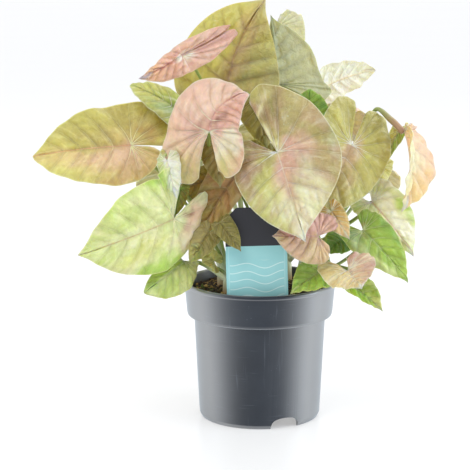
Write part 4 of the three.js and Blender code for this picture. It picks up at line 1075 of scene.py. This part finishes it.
def tube(line, radii, sides):
    """Points and faces of a closed tube along a line, with the way round and the way along of each point."""
    ahead = np.gradient(line, axis=0)
    ahead /= np.linalg.norm(ahead, axis=1)[:, None]
    side = unit(np.cross(ahead[0], (0.3, 1, 0.1)))
    angles = circle(sides)
    points = []
    for centre, direction, radius in zip(line, ahead, radii):
        side = unit(side - side.dot(direction) * direction)
        other = np.cross(direction, side)
        points += [centre + radius * (math.cos(a) * side + math.sin(a) * other) for a in angles]
    rings = numbered_rings(len(line), sides)
    faces = ring_faces(rings) + [tuple(rings[0][::-1]), tuple(rings[-1])]
    far = np.concatenate([[0], np.cumsum(np.linalg.norm(np.diff(line, axis=0), axis=1))])
    return np.array(points), faces, np.tile(angles, len(line)), np.repeat(far, sides)


def join(parts):
    """Joins parts of (points, faces, attributes) into one."""
    points, faces, attributes, count = [], [], {}, 0
    for part_points, part_faces, part_attributes in parts:
        faces += [tuple(corner + count for corner in face) for face in part_faces]
        points.append(part_points)
        for label, values in part_attributes.items():
            attributes.setdefault(label, []).append(values)
        count += len(part_points)
    return np.vstack(points), faces, {label: np.concatenate(values) for label, values in attributes.items()}


ON_AXIS = 1e-6  # points closer than this to the upright axis lie on it


def lathe(profile, segments):
    """Points and faces of a closed outline of (radius, height) turned about the upright axis."""
    points, rings = [], []
    for radius, height in profile:
        first = len(points)
        if radius < ON_AXIS:
            points.append((0, 0, height))
        else:
            points += [(radius * math.sin(a), -radius * math.cos(a), height) for a in circle(segments)]
        rings.append([first] * segments if radius < ON_AXIS else list(range(first, first + segments)))
    return np.array(points, float), ring_faces(rings + rings[:1])


def leaf_stalk(grown, paint_, tones):
    """One leaf stalk: thick at its foot, a little swollen under the blade."""
    radius = STALK_WIDE if max(grown.half) > STALK_WIDE_HALF else STALK_THIN
    line = stalk_line(grown, radius)
    share = np.linspace(0, 1, len(line))
    radii = radius * (1 + STALK_TAPER * (1 - share) + STALK_FLARE * np.exp(-((share / FLARE_REACH) ** 2)))
    radii *= 1 + STALK_SWELL * np.exp(-(((share - SWELL_PLACE) / SWELL_REACH) ** 2))
    radii *= 1 + (paint_.girth - 1) * smooth(share, 0.5, 0.8)
    radii[-1] = radius * STALK_END
    points, faces, angle, far = tube(line, radii, STALK_SIDES)
    share = np.repeat(share, STALK_SIDES)[:, None]
    own, pale = smooth(share, 0.5, 0.9), 1 - smooth(share, 0.05, 0.5)
    tone = tones["stem"] * (1 - own) + tones[paint_.stalk] * own
    tone = tone * (1 - pale) + tones["foot"] * pale
    flat = np.stack([angle * radius, far, np.full(len(far), grown.base[0])], 1)
    return points, faces, {"tone": opaque(tone), "flat": flat}


def crown(shoot, tones):
    """The short crown that a shoot's stalks grow from."""
    (x, y), top = SHOOTS[shoot]
    points, faces = lathe([
        (0, CROWN_FOOT), (CROWN_RADIUS - 0.6, CROWN_FOOT), (CROWN_RADIUS, CROWN_FOOT + 1),
        (CROWN_RADIUS, CROWN_WAIST), (CROWN_RADIUS - 0.3, top - 8), (CROWN_RADIUS - 1.2, top - 3),
        (1.5, top - 0.6), (0, top),
    ], STALK_SIDES)
    shade = smooth(points[:, 2], 100, 116)[:, None]
    tone = tones["amber"] * (1 - shade) + tones["foot"] * shade
    round_mm = np.arctan2(points[:, 0], points[:, 1]) * CROWN_RADIUS
    flat = np.stack([round_mm, points[:, 2], np.zeros(len(points))], 1)
    return points + (x, y, 0), faces, {"tone": opaque(tone), "flat": flat}


def stalks_mesh(name, shoot, tones, finish):
    """A short crown in the soil with every leaf stalk that grows from it."""
    stalks = [
        leaf_stalk(grown, PAINTS[leaf_name], tones)
        for leaf_name, grown in ALL_LEAVES.items() if grown.shoot == shoot
    ]
    points, faces, attributes = join([crown(shoot, tones), *stalks])
    return build_mesh(name, points, faces, attributes, [finish])


def stalk_finish():
    """Juicy stalk: fine lengthwise streaks, a few freckles, satin."""
    finish = Finish("Stalk skin")
    flat, tone = finish.attribute("flat", "Vector"), finish.attribute("tone", "Color")
    streak = finish.noise(finish.stretch(flat, (1.6, 0.05, 1.0)), 1.0, 3.0)
    freckle = finish.noise(flat, 0.7, 3.0)
    skin = finish.scale(tone, 0.78 + streak * 0.3 + freckle * 0.12)
    skin = finish.mix(freckle.ease(0.62, 0.72) * 0.25, skin, linear(0x7A5C3C))
    return finish.skin(
        Base_Color=skin,
        Roughness=0.36 + freckle * 0.14,
        Specular_IOR_Level=0.4,
        Subsurface_Weight=0.2,
        Subsurface_Radius=(1.0, 0.9, 0.4),
        Subsurface_Scale=0.0015,
        Normal=finish.bump(streak + freckle * 0.3, 0.0003, 0.7),
    )


# ---- nursery pot ----
RIM_BAND = 27  # height of the deep band under the lip
WALL_RADIUS, BASE_RADIUS = 52, 48  # outside, under the band and at the foot
WALL = 1.3
FOOT_INNER = 44.6  # inner radius of the foot ring
FLOOR_BOTTOM, FLOOR_TOP = 7, 8.2
PAD_RADIUS, PAD_TOP = 16, 1.4  # the flat pad in the middle of the floor
POT_ROUND = 0.5  # rounding of its corners
DRAINS, DRAIN_START = 3, 25  # notches in the foot ring, and the first one's degrees from the front
DRAIN_WIDTH, DRAIN_HEIGHT = 23, 8.6
DRAIN_SPRING, DRAIN_STEPS = 0.35, 8  # share of the height where the arch sets in, and steps of half of it
DRAIN_INSIDE, DRAIN_OUTSIDE = 4, 3  # how far a notch is cut past the foot ring


def pot_profiles(height, rim):
    """The pot's outline in parts: outside and lip, then down the inside, then the floor and underside."""
    band = height - RIM_BAND
    outside = [
        (BASE_RADIUS - 1.5, 0), (BASE_RADIUS, 3), (WALL_RADIUS, band + 0.6), (rim - 4, band),
        (rim - 2.9, band + 0.6), (rim - 2.4, band + 2.5), (rim - 0.5, height - 3.5), (rim, height - 2.6),
        (rim, height - 1), (rim - 0.7, height), (rim - 2.2, height), (rim - 2.9, height - 1),
    ]
    inside = [(rim - 4.1, band + 2.2), (WALL_RADIUS - 0.4, band + 1.8), (WALL_RADIUS - WALL, band - 0.4)]
    floor = [(BASE_RADIUS - WALL, FLOOR_TOP), (PAD_RADIUS, FLOOR_TOP), (PAD_RADIUS - 1, PAD_TOP)]
    under = [
        (0, PAD_TOP), (0, 0), (PAD_RADIUS, 0), (PAD_RADIUS + 0.6, FLOOR_BOTTOM), (FOOT_INNER, FLOOR_BOTTOM),
        (FOOT_INNER + 0.5, 0),
    ]
    return outside, inside, floor, under


def softened(profile, radius, steps=3):
    """The profile with each corner away from the axis replaced by a small arc."""
    points = [np.array(point, float) for point in profile]
    soft = []
    for before, corner, after in zip(points[-1:] + points[:-1], points, points[1:] + points[:1]):
        if abs(corner[0]) < ON_AXIS:
            soft.append(corner)
            continue
        room = min(np.linalg.norm(corner - before), np.linalg.norm(after - corner)) * 0.45
        reach = min(radius, room)
        start, end = corner + unit(before - corner) * reach, corner + unit(after - corner) * reach
        soft += [quadratic(start, corner, end, step / steps) for step in range(steps + 1)]
    return soft


def drain_cutter(angle):
    """An arched block that cuts one notch through the foot ring."""
    half, spring = DRAIN_WIDTH / 2, DRAIN_HEIGHT * DRAIN_SPRING
    corners = np.array([(half, spring), (half - 1, DRAIN_HEIGHT), (0, DRAIN_HEIGHT)])
    right = [quadratic(*corners, step / DRAIN_STEPS) for step in range(DRAIN_STEPS + 1)]
    left = [point * (-1, 1) for point in right[-2::-1]]
    arch = [(-half, -1), (half, -1), *right, *left]
    aside = np.array([math.cos(angle), math.sin(angle), 0])
    outwards = np.array([math.sin(angle), -math.cos(angle), 0])
    points = [
        x * aside + distance * outwards + (0, 0, z)
        for distance in (FOOT_INNER - DRAIN_INSIDE, BASE_RADIUS + DRAIN_OUTSIDE) for x, z in arch
    ]
    near, far = numbered_rings(2, len(arch))
    return np.array(points), ring_faces([near, far]) + [tuple(near), tuple(far[::-1])], {}


def pot_mesh(settings, finish):
    """Turned outline with soft edges and arched notches through its foot."""
    outside, inside, floor, under = pot_profiles(settings.height / MM, settings.rim / MM)
    points, faces = lathe(softened(outside + inside + floor + under, POT_ROUND), settings.segments)
    blank = add("blank", build_mesh("nursery_pot", points, faces, {}, [finish]))
    notches = [drain_cutter(math.radians(DRAIN_START + drain * 360 / DRAINS)) for drain in range(DRAINS)]
    cutter = add("drains", build_mesh("drains", *join(notches), [finish]))
    for helper in (cutter, blank):
        shape = bmesh.new()
        shape.from_mesh(helper.data)
        bmesh.ops.recalc_face_normals(shape, faces=shape.faces)
        shape.to_mesh(helper.data)
        shape.free()
    cut = blank.modifiers.new("drains", "BOOLEAN")
    cut.operation = "DIFFERENCE"
    cut.solver = "EXACT"
    cut.object = cutter
    depsgraph = bpy.context.evaluated_depsgraph_get()
    done = bpy.data.meshes.new_from_object(blank.evaluated_get(depsgraph))
    for helper in (cutter, blank):
        bpy.data.objects.remove(helper)
    done.name = "nursery_pot"
    done.shade_smooth()
    done.set_sharp_from_angle(angle=math.radians(35))
    return done


def pot_finish(settings):
    """Injection-moulded plastic: satin, with fine scuffs, dust, a faint grain and pale upright streaks that
    are partly drag marks and partly painted reflection.
    """
    finish = Finish("Pot plastic")
    place = finish.place()
    cloud = finish.noise(place, 22.0, 4.0)
    scuff = finish.noise(finish.stretch(place, (40, 40, 900)), 1.0, 4.0, 0.3)
    drag_and_reflection_streaks = finish.noise(finish.stretch(place, (500, 500, 9)), 1.0, 3.0)
    dust = 1 - finish.cells(place, 260.0).ease(0.03, 0.11)
    peel = finish.noise(place, 1400.0, 2.0)
    turned = finish.node("ShaderNodeLayerWeight", {}, {"Blend": 0.5}, "Facing")
    plastic = finish.mix(cloud * 0.14 + scuff.ease(0.62, 0.8) * 0.16, settings.plastic, settings.scuff)
    # The pale upright streaks are partly drag marks and partly painted reflection; the dust is the plastic's
    # own.
    wear_and_reflection_streaks = drag_and_reflection_streaks.ease(0.62, 0.82) * 0.15 + dust * cloud.ease(0.5, 0.7) * 0.3
    plastic = finish.mix(wear_and_reflection_streaks, plastic, settings.scuff)
    return finish.skin(
        Base_Color=plastic,
        Roughness=0.27 + cloud * 0.1 + scuff * 0.06,
        Specular_IOR_Level=0.25,
        Coat_Weight=turned.ease(0.02, 0.5),  # a pale gloss that grows towards the pot's sides
        Coat_Roughness=0.34,
        Coat_IOR=3.8,
        Coat_Tint=(0.74, 0.88, 1.0, 1.0),
        Sheen_Weight=0.22,
        Sheen_Roughness=0.3,
        Sheen_Tint=(0.5, 0.75, 1.0, 1.0),
        Normal=finish.bump(peel * 0.3 + scuff * 0.5 + drag_and_reflection_streaks * 0.2, 0.00012, 0.5),
    )


# ---- soil ----
SOIL_EDGE, SOIL_MOUND, SOIL_LUMP = 100.5, 4, 1.1  # height at the pot's wall, and of the mound and its lumps
SOIL_RADIUS = 56.2
SOIL_GAP = 0.4  # between the soil and the pot
SOIL_RINGS, SOIL_SEGMENTS = 70, 200
# turn, lumps a millimetre and height of each layer of small lumps
CRUMBLE = ((0.4, 1.1, 0.45), (1.3, 1.9, 0.3), (2.2, 3.1, 0.22), (0.9, 4.7, 0.14))
LITTER_SEED = 11


def soil_height(x, y):
    """Height of the mounded soil, without its small lumps."""
    share = np.hypot(x, y) / SOIL_RADIUS
    lumps = np.sin(x * 0.61 + 1.3) * np.cos(y * 0.53) + 0.7 * np.sin(x * 0.27 - y * 0.34)
    return SOIL_EDGE + SOIL_MOUND * (1 - share**2) + SOIL_LUMP * lumps * (1 - share**4)


def crumbly(x, y):
    """Small lumps of the soil's surface."""
    total = np.zeros_like(x)
    for turn, pitch, height in CRUMBLE:
        u = (x * math.cos(turn) + y * math.sin(turn)) * pitch
        w = (y * math.cos(turn) - x * math.sin(turn)) * pitch
        total += height * np.sin(u + 2 * np.sin(w * 0.7)) * np.sin(w + 2 * np.sin(u * 0.6))
    return total


def soil_mesh(height, rim, finish):
    """The soil in the pot, crumbly on top, closed down to the pot's floor."""
    _, inside, floor, _ = pot_profiles(height, rim)
    angles = circle(SOIL_SEGMENTS)
    rings = []
    for share in np.arange(1, SOIL_RINGS + 1) / SOIL_RINGS:
        x, y = SOIL_RADIUS * share * np.sin(angles), SOIL_RADIUS * share * np.cos(angles)
        fade = 1 - smooth(share, 0.93, 1.0)
        rings.append(np.stack([x, y, soil_height(x, y) + crumbly(x, y) * fade], 1))
    for radius, level in inside + [(radius, level + SOIL_GAP) for radius, level in floor]:
        x, y = (radius - SOIL_GAP) * np.sin(angles), (radius - SOIL_GAP) * np.cos(angles)
        rings.append(np.stack([x, y, np.full(SOIL_SEGMENTS, level)], 1))
    points = np.vstack([*rings, [(0, 0, soil_height(0, 0)), (0, 0, PAD_TOP + SOIL_GAP)]])
    top, bottom = ([len(points) - back] * SOIL_SEGMENTS for back in (2, 1))
    faces = ring_faces([top, *numbered_rings(len(rings), SOIL_SEGMENTS), bottom])
    return build_mesh("potting_soil", points, faces, {}, [finish])


def scattered(draw, reach):
    """A place on the soil, drawn evenly within reach of the middle."""
    radius, angle = reach * math.sqrt(draw.random()), draw.random() * 2 * math.pi
    return radius * math.sin(angle), radius * math.cos(angle)


def tinted(points, faces, tone):
    """A part in one tone."""
    return points, faces, {"tone": opaque(np.tile(tone, (len(points), 1)))}


def crumb(draw, settings, sphere, faces):
    """A crumb of bark or a fleck of moss: a lumpy ball."""
    x, y = scattered(draw, SOIL_RADIUS - 2.5)
    mossy = math.sin(x * 0.12 + 1) * math.cos(y * 0.15) > 0.35
    size = draw.uniform(0.35, 1.5) * (1.2 if mossy else 1)
    lumps = np.sin(sphere @ draw.normal(0, 2.4, (3, 3)) + draw.uniform(0, 6, 3)).mean(1)
    lumpy = sphere * (1 + 0.28 * lumps)[:, None]
    points = lumpy * size * draw.uniform(0.6, 1.2, 3) + (x, y, soil_height(x, y) + size * 0.35)
    tone = np.array(settings.moss if mossy and draw.random() < 0.6 else settings.crumb)
    tone = tone * draw.uniform(0.45, 1.2)
    if draw.random() < 0.12:
        tone = np.array(settings.straw) * draw.uniform(0.6, 1)
    return tinted(points, faces, tone)


def fibre(draw, settings):
    """A bent fibre, thin at its ends."""
    x, y = scattered(draw, SOIL_RADIUS - 5)
    heading = draw.random() * 2 * math.pi
    span, bow = draw.uniform(3, 9), draw.uniform(-0.5, 0.5)
    far = np.linspace(-0.5, 0.5, 6) * span
    line_x = x + far * math.cos(heading) - bow * far**2 / span * math.sin(heading)
    line_y = y + far * math.sin(heading) + bow * far**2 / span * math.cos(heading)
    inside = np.minimum(1, (SOIL_RADIUS - 1) / np.maximum(np.hypot(line_x, line_y), 1))
    line_x, line_y = line_x * inside, line_y * inside
    line = np.stack([line_x, line_y, soil_height(line_x, line_y) + 0.8 + 0.4 * np.sin(far)], 1)
    points, faces, *_ = tube(line, draw.uniform(0.12, 0.32) * np.array([0.4, 1, 1, 1, 0.9, 0.3]), 6)
    return tinted(points, faces, np.array(settings.straw) * draw.uniform(0.5, 1.15))


def litter_mesh(settings, finish):
    """Crumbs of bark, flecks of moss and fibres that lie on the soil."""
    draw = np.random.default_rng(LITTER_SEED)
    ball = bmesh.new()
    bmesh.ops.create_icosphere(ball, subdivisions=2, radius=1)
    sphere, faces = taken_out(ball)
    parts = [crumb(draw, settings, sphere, faces) for _ in range(settings.crumbs)]
    parts += [fibre(draw, settings) for _ in range(settings.fibres)]
    points, faces, attributes = join(parts)
    return build_mesh("soil_litter", points, faces, attributes, [finish])


def earth_finish(settings):
    """Damp peat with drier and mossy patches."""
    finish = Finish("Damp peat")
    place = finish.place()
    patch = finish.noise(place, 60.0, 5.0)
    fine = finish.noise(place, 900.0, 4.0)
    clods = finish.cells(place, 420.0)
    soil = finish.mix(patch.ease(0.4, 0.65) * 0.6, settings.earth, settings.crumb)
    soil = finish.mix(finish.noise(place, 34.0, 3.0).ease(0.56, 0.66) * 0.5, soil, settings.moss)
    return finish.skin(
        Base_Color=finish.scale(soil, 0.5 + fine * 0.8),
        Roughness=0.82 + fine * 0.15,
        Normal=finish.bump(clods + fine * 0.8, 0.0007, 0.9),
    )


def litter_finish():
    """Bark, moss and straw in their own tones."""
    finish = Finish("Soil litter")
    fine = finish.noise(finish.place(), 1500.0, 4.0)
    return finish.skin(
        Base_Color=finish.scale(finish.attribute("tone", "Color"), 0.55 + fine * 0.9),
        Roughness=0.75 + fine * 0.2,
        Normal=finish.bump(fine, 0.0003, 0.8),
    )


# ---- label card ----
CARD_WIDTH, CARD_TOP, CARD_SHOULDER, CARD_FOOT = 47, 175, 102, 74
CARD_CORNER, CARD_SPIKE, CARD_THICK = 9, 7, 0.7
CARD_PLACE = Vector((-1.7, -46, 109))
CARD_LEAN, CARD_TURN = 2, 1.7  # degrees
CARD_ROUND, CARD_EDGE = 1.2, 0.16  # rounding of its corners and of its edges
WAVE_PITCH = 6.2


def card_mesh(finish):
    """A push-in card with cut top corners and a spike, its edges slightly rounded."""
    half, top = CARD_WIDTH / 2, CARD_TOP - CARD_PLACE.z
    shoulder, foot = CARD_SHOULDER - CARD_PLACE.z, CARD_FOOT - CARD_PLACE.z
    outline = softened([
        (-CARD_SPIKE, foot), (CARD_SPIKE, foot), (half, shoulder), (half, top - CARD_CORNER),
        (half - CARD_CORNER, top), (CARD_CORNER - half, top), (-half, top - CARD_CORNER), (-half, shoulder),
    ], CARD_ROUND, 4)
    shape = bmesh.new()
    front = shape.faces.new([shape.verts.new((x, -CARD_THICK / 2, z)) for x, z in outline])
    solid = bmesh.ops.extrude_face_region(shape, geom=[front])["geom"]
    back = [item for item in solid if isinstance(item, bmesh.types.BMVert)]
    bmesh.ops.translate(shape, vec=(0, CARD_THICK, 0), verts=back)
    bmesh.ops.recalc_face_normals(shape, faces=shape.faces)
    edges = [edge for edge in shape.edges if edge.calc_face_angle(0) > 1]
    bmesh.ops.bevel(shape, geom=edges, offset=CARD_EDGE, segments=2, affect="EDGES")
    card, faces = taken_out(shape)
    turn = Matrix.Rotation(math.radians(-CARD_TURN), 3, "Y")
    lean = Matrix.Rotation(math.radians(-CARD_LEAN), 3, "X")
    points = [lean @ turn @ Vector(point) + CARD_PLACE for point in card]
    mesh = build_mesh("label_card", points, faces, {"card": card}, [finish])
    mesh.set_sharp_from_angle(angle=math.radians(40))
    return mesh


def card_finish(settings):
    """Printed card: a plain dark head over a panel of fine waves, both with a thin border."""
    finish = Finish("Printed card")
    card = finish.attribute("card", "Vector")
    across, level = (finish.node("ShaderNodeSeparateXYZ", {}, {0: card}, axis) for axis in ("X", "Z"))
    seam = settings.seam / MM - CARD_PLACE.z
    head = level.ease(seam - 0.12, seam + 0.12)
    speckle = finish.noise(card, 3.0, 2.0)
    swell = finish.noise(finish.stretch(card, (0.05, 0.05, 0.12)), 1.0, 2.0)
    wave = (level + (across * 0.24).sine() * 1.5 + (across * 0.11 + 1.0).sine() * 1.2) % WAVE_PITCH
    line = 1 - abs(wave - WAVE_PITCH / 2).ease(0.16, 0.5)
    low = 1 - level.ease(seam - 13, seam - 10)
    border = 1 - abs(abs(across) - (CARD_WIDTH / 2 - 2.2)).ease(0.12, 0.32)
    panel = finish.mix(swell * 0.2, settings.panel, settings.waves)
    panel = finish.mix(line * low * 0.8 * (1 - abs(across).ease(20.5, 20.9)), panel, settings.waves)
    panel = finish.mix(border * 0.35, panel, settings.waves)
    paint = finish.mix(head, panel, settings.head)
    return finish.skin(
        Base_Color=finish.scale(paint, 0.95 + speckle * 0.1),
        Roughness=0.36 + speckle * 0.12,
        Specular_IOR_Level=0.45,
        Normal=finish.bump(speckle + line * low * 0.4, 0.00006, 0.6),
    )


# ---- stage ----
CAMERA_PLACE = (0, -1.355, 0.405)
CAMERA_TURN = (math.radians(90 - 10.86), 0, math.radians(0.83))
FLOOR_RADIUS, FLOOR_SIDES = 14.0, 96
COOL, WARM = (0.84, 0.93, 1.0), (1.0, 0.95, 0.86)
# name: (place, aimed at, width, height, watts, colour)
LAMPS = {
    "side_left": ((-1.5, -0.5, 0.7), (0, 0, 0.15), 1.4, 1.8, 8.0, COOL),
    "side_right": ((1.5, -0.45, 0.65), (0, 0, 0.15), 1.4, 1.8, 21.0, COOL),
    "overhead": ((-0.45, -0.9, 1.4), (0, 0, 0.2), 0.6, 0.6, 7.0, WARM),
    "behind": ((0.5, 1.2, 1.3), (0, 0, 0.25), 0.8, 0.8, 6.0, WARM),
}
WORLD_DIM, WORLD_BRIGHT = 0.55, 0.88  # strength of the surroundings behind the camera and of all the rest
WORLD_TINT = (0.95, 0.975, 1.0, 1.0)


def lay_floor(settings):
    """A pale floor that gives off a little light."""
    edge = [(FLOOR_RADIUS * math.cos(a), FLOOR_RADIUS * math.sin(a), 0) for a in circle(FLOOR_SIDES)]
    faces = ring_faces([[0] * FLOOR_SIDES, list(range(FLOOR_SIDES, 0, -1))])
    finish = Finish("Studio floor")
    cloud = finish.noise(finish.place(), 3.0, 2.0)
    paper = finish.skin(
        Base_Color=finish.mix(cloud * 0.03, settings.floor, (0.8, 0.8, 0.8)),
        Roughness=0.24 + cloud * 0.03,
        Specular_IOR_Level=0.5,
        Emission_Color=(1.0, 0.985, 0.97, 1.0),
        Emission_Strength=settings.glow,
    )
    add("floor", build_mesh("floor", np.array([(0, 0, 0), *edge]) / MM, faces, {}, [paper]))


def hang_lamps(strength):
    """Soft lamps round the plant, none of which shows."""
    for name, (place, aim, width, height, watts, tint) in LAMPS.items():
        lamp = bpy.data.lights.new(name, "AREA")
        lamp.shape = "RECTANGLE"
        lamp.size, lamp.size_y = width, height
        lamp.energy = watts * strength
        lamp.color = tint
        holder = add(name, lamp)
        holder.location = place
        holder.rotation_euler = (Vector(aim) - Vector(place)).to_track_quat("-Z", "Y").to_euler()
        holder.visible_camera = False


def light_room():
    """Bright surroundings, dimmer behind the camera and overhead."""
    room = Finish("Bright room", bpy.data.worlds)
    way = room.node("ShaderNodeTexCoord", {}, {}, "Generated")
    ahead, up = (room.node("ShaderNodeSeparateXYZ", {}, {0: way}, axis) for axis in ("Y", "Z"))
    bright = ahead.ease(-0.9, -0.3) * (1 - up.ease(0.25, 0.8) * 0.5)
    strength = bright * (WORLD_BRIGHT - WORLD_DIM) + WORLD_DIM
    light = room.node("ShaderNodeBackground", {}, {"Color": WORLD_TINT, "Strength": strength})
    bpy.context.scene.world = room.close(light, "ShaderNodeOutputWorld")
    bpy.context.scene.view_settings.view_transform = "Standard"


def set_camera(lens):
    camera = bpy.data.cameras.new("view")
    camera.lens = lens
    camera.sensor_width = 36
    camera.clip_end = 100
    holder = add("view", camera)
    holder.location = CAMERA_PLACE
    holder.rotation_euler = CAMERA_TURN
    bpy.context.scene.camera = holder


# ---- operators ----
class ARROWHEAD_OT_stage(bpy.types.Operator):
    """Build the floor, the light and the camera"""

    bl_idname = "arrowhead.stage"
    bl_label = "Stage"

    def execute(self, context):
        settings = context.scene.arrowhead_stage
        lay_floor(settings)
        hang_lamps(settings.light)
        light_room()
        set_camera(settings.lens)
        return {"FINISHED"}


class ARROWHEAD_OT_pot(bpy.types.Operator):
    """Build the nursery pot"""

    bl_idname = "arrowhead.pot"
    bl_label = "Nursery pot"

    def execute(self, context):
        settings = context.scene.arrowhead_pot
        fit_piece("nursery_pot", pot_mesh(settings, pot_finish(settings)), "pot")
        return {"FINISHED"}


class ARROWHEAD_OT_soil(bpy.types.Operator):
    """Build the potting soil and what lies on it"""

    bl_idname = "arrowhead.soil"
    bl_label = "Potting soil"

    def execute(self, context):
        settings, pot = context.scene.arrowhead_soil, context.scene.arrowhead_pot
        soil = soil_mesh(pot.height / MM, pot.rim / MM, earth_finish(settings))
        fit_piece("potting_soil", soil, "soil")
        fit_piece("soil_litter", litter_mesh(settings, litter_finish()), None)
        return {"FINISHED"}


class ARROWHEAD_OT_card(bpy.types.Operator):
    """Build the label card"""

    bl_idname = "arrowhead.card"
    bl_label = "Label card"

    def execute(self, context):
        fit_piece("label_card", card_mesh(card_finish(context.scene.arrowhead_card)), "label")
        return {"FINISHED"}


def tone_values(settings):
    return {name: np.array(getattr(settings, name)) for name in TONES}


class ARROWHEAD_OT_stalks(bpy.types.Operator):
    """Build the crowns in the soil and the leaf stalks"""

    bl_idname = "arrowhead.stalks"
    bl_label = "Stalks"

    def execute(self, context):
        tones, finish = tone_values(context.scene.arrowhead_tones), stalk_finish()
        for shoot in SHOOTS:
            name = f"stalks_{shoot}"
            fit_piece(name, stalks_mesh(name, shoot, tones, finish), f"shoot_{shoot}")
        return {"FINISHED"}


class ARROWHEAD_OT_blades(bpy.types.Operator):
    """Build the leaf blades"""

    bl_idname = "arrowhead.blades"
    bl_label = "Blades"

    def execute(self, context):
        settings = context.scene.arrowhead_blades
        tones, finish = tone_values(context.scene.arrowhead_tones), blade_finish()
        for name, leaf_ in ALL_LEAVES.items():
            blade = blade_mesh(name, leaf_, PAINTS[name], tones, settings, finish)
            fit_piece(f"blade_{name}", blade, f"leaf_{name}" if name in LEAVES else None)
        return {"FINISHED"}


OPERATORS = (
    ARROWHEAD_OT_stage,
    ARROWHEAD_OT_pot,
    ARROWHEAD_OT_soil,
    ARROWHEAD_OT_card,
    ARROWHEAD_OT_stalks,
    ARROWHEAD_OT_blades,
)
SETTINGS = {
    "arrowhead_tones": ToneSettings,
    "arrowhead_blades": BladeSettings,
    "arrowhead_pot": PotSettings,
    "arrowhead_soil": SoilSettings,
    "arrowhead_card": CardSettings,
    "arrowhead_stage": StageSettings,
}


class ARROWHEAD_PT_panel(bpy.types.Panel):
    """Lists the pieces of the plant"""

    bl_idname = "ARROWHEAD_PT_panel"
    bl_label = "Potted arrowhead plant"
    bl_space_type = "VIEW_3D"
    bl_region_type = "UI"
    bl_category = "Arrowhead"

    def draw(self, context):
        for operator in OPERATORS:
            self.layout.operator(operator.bl_idname)
        for name, group in SETTINGS.items():
            box = self.layout.box()
            box.label(text=group.__doc__)
            for prop in group.__annotations__:
                box.prop(getattr(context.scene, name), prop)


def register():
    for group in SETTINGS.values():
        bpy.utils.register_class(group)
    for name, group in SETTINGS.items():
        setattr(bpy.types.Scene, name, PointerProperty(type=group))
    for operator in OPERATORS:
        bpy.utils.register_class(operator)
    bpy.utils.register_class(ARROWHEAD_PT_panel)


def unregister():
    bpy.utils.unregister_class(ARROWHEAD_PT_panel)
    for operator in reversed(OPERATORS):
        bpy.utils.unregister_class(operator)
    for name in SETTINGS:
        delattr(bpy.types.Scene, name)
    for group in reversed(SETTINGS.values()):
        bpy.utils.unregister_class(group)


def main():
    register()
    for operator in OPERATORS:
        category, name = operator.bl_idname.split(".")
        getattr(getattr(bpy.ops, category), name)()
    bpy.context.view_layer.update()


if __name__ == "__main__":
    main()
